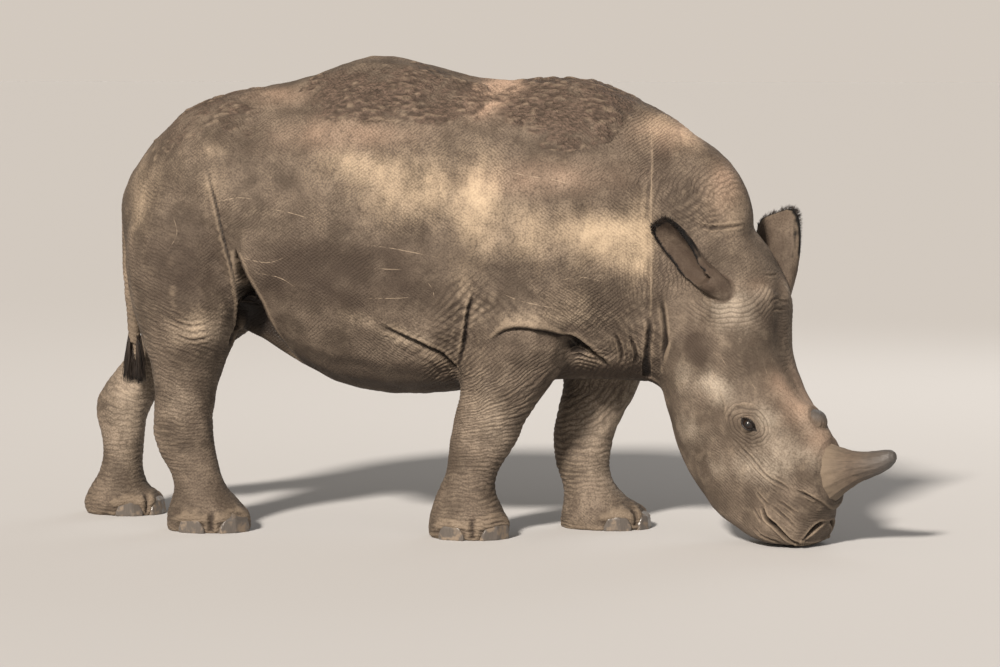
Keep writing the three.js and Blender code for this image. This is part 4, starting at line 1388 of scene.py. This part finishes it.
fill(shader, {"IOR": 1.45, "Specular IOR Level": 0.3})
replaced = ["trunk", "neck", "head"] + [f"leg_{leg}" for leg in legs] + thin_names
finished("skin", base, hide, "hide", *replaced)
print("hide has", len(tree.nodes), "nodes in", len(layers), "layers")

# %% [markdown]
# ## Eyes
#
# A rhinoceros's eye is small and dark brown, with a clear wet cornea that stands a little proud of the
# ball. One smooth ball carries both: its front is pushed out over the iris, and the colour is painted by
# the angle from the gaze, under a coat of clear varnish. A separate clear shell would look the same and
# need more care.

# %% The eye's finish
eye_gloss, tree, shader = new_material("wet_dark_cornea")
from_pupil = add(tree, "Attribute", attribute_name="from_pupil")["Fac"]
iris = add(tree, "ValToRGB", from_pupil)["Color"]
stops = iris.node.color_ramp.elements
stops[0].position, stops[0].color = 0.20, linear("050403")  # pupil
stops[1].position, stops[1].color = 0.62, linear("191310")  # white of the eye, which is dark too
stops.new(0.26).color = linear("24160D")
stops.new(0.50).color = linear("120C08")
CORNEA_IOR = 1.376  # cornea and tears
fill(shader, {"Base Color": iris, "Roughness": 0.4, "Specular IOR Level": 0.3, "Coat Weight": 1.0,
              "Coat Roughness": 0.03, "Coat IOR": CORNEA_IOR})
print("iris in", len(stops), "stops")

# %% Eyeballs
for name, side in (("right", RIGHT), ("left", LEFT)):
    ball = bmesh.new()
    bmesh.ops.create_uvsphere(ball, u_segments=64, v_segments=40, radius=1.0)
    gaze = GAZE * (1, side, 1)
    centre = EYE * (1, side, 1)
    angles = []
    for vertex in ball.verts:
        direction = np.array(vertex.co.normalized())
        angle = math.acos(max(-1, min(1, direction @ gaze)))
        angles.append(angle / (math.pi / 2))
        bulge = 1.2 * math.exp(-((angle / 0.55) ** 4))
        vertex.co = from_head(centre + direction * (EYE_RADIUS - 0.6 + bulge))
    mesh = taken_from(ball, "eyeball")
    mesh.attributes.new("from_pupil", "FLOAT", "POINT").data.foreach_set("value", angles)
    finished(f"eyeball_{name}", mesh, eye_gloss, "eye", f"eye_{name}")
print("eyeballs of", 2 * EYE_RADIUS, "mm")

# %% [markdown]
# ## Horns
#
# Rhinoceros horn is keratin, like a hoof: fibres as thin as hair, glued side by side along the horn and
# frayed at its foot. They give it a dull, streaked look that turns smooth towards the rubbed tip. Noise
# stretched along the horn draws the fibres: real ones are ten times finer than the 3 mm drawn here.

# %% The horn's finish
FIBRE, KNOT = 3.0, 22  # mm across
FIBRE_HIGH, KNOT_HIGH = 1.0, 3.0
KERATIN_IOR = 1.54
keratin, tree, shader = new_material("weathered_keratin")
fibre = add(tree, "Attribute", attribute_name="fibre")["Vector"]
along = add(tree, "SeparateXYZ", add(tree, "Attribute", attribute_name="along")["Vector"])[0]
place = add(tree, "TexCoord")["Object"]
threads = add(tree, "TexNoise", {"Vector": fibre, "Scale": 1000 / FIBRE, "Detail": 3.0})["Fac"]
knots = add(tree, "TexNoise", {"Vector": place, "Scale": 1000 / KNOT, "Detail": 4.0})["Fac"]
to_tip = add(tree, "MapRange", along, 0.45, 0.95)["Result"]
to_foot = add(tree, "MapRange", along, 0.40, 0.05)["Result"]
off_foot = add(tree, "Math", 1.0, to_foot, **MINUS)[0]
dark_thread = add(tree, "Math", add(tree, "MapRange", threads, 0.55, 0.35)["Result"], 0.4, **TIMES)[0]
dark_thread = add(tree, "Math", dark_thread, off_foot, **TIMES)[0]
frayed = add(tree, "Math", to_foot, 0.75, **TIMES)[0]

colour = add(tree, "Mix", {0: knots, 6: linear("3B322B"), 7: linear("6F6051")}, **COLOUR)[2]
for share, over in ((to_tip, "4A4643"), (frayed, "766857"), (dark_thread, "31281F")):
    colour = add(tree, "Mix", {0: share, 6: colour, 7: linear(over)}, **COLOUR)[2]
height = add(tree, "Math", threads, add(tree, "Math", off_foot, FIBRE_HIGH, **TIMES)[0],
             add(tree, "Math", knots, KNOT_HIGH, **TIMES)[0], **TIMES_PLUS)[0]
bump = add(tree, "Bump", {"Strength": 1.0, "Distance": MM, "Height": height})["Normal"]
worn = add(tree, "MapRange", along, 0.5, 1.0, 0.85, 0.5)["Result"]
fill(shader, {"Base Color": colour, "Roughness": worn, "Normal": bump, "IOR": KERATIN_IOR})
print("keratin has", len(tree.nodes), "nodes")

# %% [markdown]
# ## The horns' shape
#
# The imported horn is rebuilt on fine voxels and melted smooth, then combed with grooves that run from the
# foot to the tip. Each point keeps how far along the horn it lies, and where it lies round it, for the
# finish.


# %% The horns' shape
def smooth_solid(name, voxel, passes):
    """A node's solid rebuilt on voxels and melted."""
    return melt(remeshed(merged_copy([name], OVERLAP), voxel), passes)


def keep_vector(mesh, name, rows):
    """Keeps a row of three values on each point of the mesh."""
    values = np.asarray(rows, np.float32).ravel()
    mesh.attributes.new(name, "FLOAT_VECTOR", "POINT").data.foreach_set("vector", values)


HORN_SLIM = 18 * MM  # how much the front horn's underside is drawn in, so that it curves upward
skull = from_head((150, 0, -560))
for name in ("horn_front", "horn_rear"):
    horn = smooth_solid(name, 2.5 * MM, 16)
    at = points_of(horn)
    away = np.linalg.norm(at - skull, axis=1)
    tip = at[away.argmax()]
    foot = at[away < np.percentile(away, 25)].mean(axis=0)
    long = np.linalg.norm(tip - foot)
    axis = (tip - foot) / long
    length_along = (at - foot) @ axis
    outward = at - foot - length_along[:, None] * axis
    outward /= np.linalg.norm(outward, axis=1)[:, None] + 1e-9
    part = length_along / long
    fibres = outward * 0.05 + axis * length_along[:, None] * 0.07
    grooves = 1.2 * noise(fibres, 8 * MM, 3) * ramp(part, 0.95, 0.3) + 1.5 * noise(at, 20 * MM, 5)
    at += outward * (grooves * MM * ramp(part, 1.0, 0.5))[:, None]
    if name == "horn_front":
        at[:, 2] += HORN_SLIM * ramp(-outward[:, 2], 0, 1) * bell(part - 0.5, 0.35)
    set_points(horn, at)
    keep_vector(horn, "fibre", fibres)
    keep_vector(horn, "along", np.column_stack([part, part, part]))
    finished(name + "_fibres", horn, keratin, "horn", name)
    print(name, "is", round(float(long), 3), "m long")

# %% [markdown]
# ## Nails
#
# Each foot has three broad nails, one to a toe, set in the hide. They are hoof horn too: grey brown,
# streaked from the cuticle to the ground, and worn smooth enough at the front to shine under dry mud.

# %% The nails' finish
STREAK, SMEAR = 4.0, 30  # mm across
STREAK_HIGH, SMEAR_HIGH = 0.5, 1.0
nail_horn, tree, shader = new_material("worn_hoof_horn")
place = add(tree, "TexCoord")["Object"]
stretched = add(tree, "Mapping", {"Vector": place, "Scale": (1.0, 1.0, 0.15)})["Vector"]
streaks = add(tree, "TexNoise", {"Vector": stretched, "Scale": 1000 / STREAK, "Detail": 3.0})["Fac"]
smears = add(tree, "TexNoise", {"Vector": place, "Scale": 1000 / SMEAR, "Detail": 4.0})["Fac"]
upward = add(tree, "SeparateXYZ", place)["Z"]
cuticle = add(tree, "MapRange", upward, 0.055, 0.085)["Result"]
muddy = add(tree, "MapRange", smears, 0.5, 0.62)["Result"]
half_muddy = add(tree, "Math", muddy, 0.5, **TIMES)[0]
colour = add(tree, "Mix", {0: streaks, 6: linear("4B4642"), 7: linear("625B54")}, **COLOUR)[2]
for share, over in ((cuticle, "80705F"), (half_muddy, "93806A")):
    colour = add(tree, "Mix", {0: share, 6: colour, 7: linear(over)}, **COLOUR)[2]
matt = add(tree, "Math", muddy, 0.4, 0.3, **TIMES_PLUS)[0]
smear_height = add(tree, "Math", smears, SMEAR_HIGH, **TIMES)[0]
height = add(tree, "Math", streaks, STREAK_HIGH, smear_height, **TIMES_PLUS)[0]
bump = add(tree, "Bump", {"Strength": 1.0, "Distance": MM, "Height": height})["Normal"]
fill(shader, {"Base Color": colour, "Roughness": matt, "Normal": bump, "IOR": KERATIN_IOR})
print("hoof horn has", len(tree.nodes), "nodes")

# %% Nails
for name in [f"nail_{leg_name}_{toe}" for leg_name in legs for toe in toes]:
    plate = smooth_solid(name, 3 * MM, 8)
    at = points_of(plate)
    at[:, 2] = np.maximum(at[:, 2], 0)  # the ground wears it flat
    set_points(plate, at)
    finished(name + "_plate", plate, nail_horn, "nail", name)
print("nails", len(legs) * len(toes))

# %% [markdown]
# ## Hair
#
# A rhinoceros has hair in three places: round the rims of its ears, at the end of its tail, and on its
# eyelids. Each tuft is a thin three-sided spike that bends under its own weight. Hair curves would be
# lighter, but solid spikes survive an export. They are joined in one mesh for each place, and each one
# has its own small patch on a map of the body, rolled out flat like a tube.

# %% The hair's finish
bristle, tree, shader = new_material("coarse_black_bristle")
tint = add(tree, "Attribute", attribute_name="tint")["Fac"]
colour = add(tree, "Mix", {0: tint, 6: linear("0B0908"), 7: linear("3B3028")}, **COLOUR)[2]
fill(shader, {"Base Color": colour, "Roughness": 0.5, "IOR": 1.55})
print("bristle has", len(tree.nodes), "nodes")

# %% One spike's faces
BENDS = 5
TIP = 3 * BENDS
spike_faces = [(2, 1, 0)]
for low in range(0, TIP - 3, 3):
    for turn, after in ((0, 1), (1, 2), (2, 0)):
        spike_faces.append((low + turn, low + after, low + 3 + after, low + 3 + turn))
spike_faces += [(TIP - 3 + turn, TIP - 3 + (turn + 1) % 3, TIP) for turn in range(3)]
print("a spike has", TIP + 1, "corners and", len(spike_faces), "faces")

# %% Bristles
dice = np.random.default_rng(4)
PATCH = 0.003  # how wide a spike's own patch of the map is


def spike(root, way, length, thick, droop):
    """A bent spike's corners, and their places on the body rolled out flat: along it, and round it."""
    way = way / np.linalg.norm(way)
    side = np.cross(way, (0.31, 0.62, 0.72))
    side /= np.linalg.norm(side)
    other = np.cross(way, side)
    across, round_it = (root[0] + 1.5) / 3.1, math.atan2(root[2] - 0.9, root[1]) / (2 * math.pi) + 0.5
    place, corners_here, patches = np.array(root, float), [], []
    for bend in range(BENDS):
        width = thick * (1 - bend / BENDS) ** 0.7
        for turn in range(3):
            angle = turn * 2 * math.pi / 3
            corners_here.append(place + (side * math.cos(angle) + other * math.sin(angle)) * width)
            patches.append((across + PATCH * turn / 3, round_it + PATCH * bend / BENDS))
        way = way + np.array([0, 0, -droop])
        way /= np.linalg.norm(way)
        place = place + way * length / BENDS
    return corners_here + [place], patches + [(across, round_it + PATCH)]


def bristles(name, roots, ways, lengths, thick, droop, *replaced):
    """One mesh of bent spikes, from their roots, directions and lengths."""
    spots, faces, tints, patches = [], [], [], []
    for root, way, length in zip(roots, ways, lengths):
        tints += [dice.random()] * (TIP + 1)
        faces += [[len(spots) + corner for corner in face] for face in spike_faces]
        more_spots, more_patches = spike(root, way, length, thick, droop)
        spots += more_spots
        patches += more_patches
    mesh = bpy.data.meshes.new(name)
    mesh.from_pydata([tuple(spot) for spot in spots], [], faces)
    mesh.attributes.new("tint", "FLOAT", "POINT").data.foreach_set("value", tints)
    layer = mesh.uv_layers.new(name="OFBake")
    layer.data.foreach_set("uv", [c for loop in mesh.loops for c in patches[loop.vertex_index]])
    finished(name, mesh, bristle, "hair", *replaced)
    print(name, len(roots), "hairs,", len(mesh.polygons), "faces")


print("a bristle has", TIP + 1, "corners in", BENDS, "rings and a tip")

# %% [markdown]
# ## Ear fringes
#
# A dark fringe edges each ear and is longest at the tip. Its roots are drawn at random from the points of
# the sharp rim, more of them high up, and its hairs point outward and along the ear.

# %% Ear fringes
for name, side in (("right", RIGHT), ("left", LEFT)):
    low, high = corners("ear_" + name)
    in_box = ((points > low - 6 * MM) & (points < high + 6 * MM)).all(axis=1)
    rims = np.flatnonzero(in_box & (ear_rim > 0.75) & (bent > 0.40 * MM))
    upper_share = ramp(points[rims, 2], low[2] + 0.10, high[2] - 0.02) + 0.12
    chosen = dice.choice(rims, 1500, p=upper_share / upper_share.sum())
    rise = ramp(points[chosen, 2], low[2] + 0.14, high[2])
    ear_axis = (low + high) / 2 - from_head((60, 60 * side, 0))
    ear_axis /= np.linalg.norm(ear_axis)
    ways = normals[chosen] * 0.8 + ear_axis * (0.5 + 0.5 * rise[:, None]) + dice.normal(0, 0.22, (1500, 3))
    lengths = (3 + 3 * dice.random(1500) + 18 * rise**2 * dice.random(1500)) * MM
    bristles(f"ear_fringe_{name}", points[chosen] - normals[chosen] * MM, ways, lengths, 0.8 * MM, 0.03)

# %% [markdown]
# ## Tail brush
#
# The tail ends in a flat brush of stiff hair that grows along its two edges and hangs straight down. It
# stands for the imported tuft, so no hair reaches lower than that.

# %% Tail brush
tail_off = np.hypot(points[:, 0] - core_middle[0], points[:, 1] - core_middle[1])
on_edges = np.abs(normals[:, 0]) > 0.5
at_end = (tail_off < 0.03) & (points[:, 2] < tuft_high[2] + 0.03) & (points[:, 2] > tuft_low[2] - 0.02)
on_tail = np.flatnonzero(at_end & (on_edges | (points[:, 2] < tuft_high[2] - 0.5 * CORE_DOWN)))
chosen = dice.choice(on_tail, 1400)
ways = normals[chosen] * (0.16, 0.06, 0) + (0, 0, -1) + dice.normal(0, 0.05, (1400, 3))
reach_down = points[chosen, 2] - tuft_low[2] + 15 * MM
lengths = np.minimum(reach_down * (0.45 + 0.53 * dice.random(1400) ** 0.6), 0.19)
bristles("tail_brush", points[chosen] - normals[chosen] * MM, ways, lengths, 1.1 * MM, 0.12, "tail_tuft")

# %% [markdown]
# ## Eyelashes
#
# The upper lid has one row of short lashes. Their roots lie on the lid's shell, just above the opening,
# and they fan out from the middle.

# %% Eyelashes
for name, side in (("right", RIGHT), ("left", LEFT)):
    roots, ways = [], []
    for u in np.linspace(-24, 20, 30):
        v = HALF_HIGH * (1 - (u / HALF_LONG) ** 2) + 2.2
        flat = SLIT * u + LID_UP * v
        on_lid = EYE + flat + GAZE * math.sqrt(LID_RADIUS**2 - min(flat @ flat, 800))
        out = GAZE * 0.8 + LID_UP * 0.7 + SLIT * (u / 60 - 0.2)
        mirror = np.array([1, side, 1])
        root = from_head(on_lid * mirror)
        roots.append(root)
        ways.append(from_head((on_lid + out * 10) * mirror) - root)
    lengths = (8 + 6 * dice.random(len(roots))) * MM
    bristles(f"eyelashes_{name}", roots, np.array(ways), lengths, 0.7 * MM, 0.10)
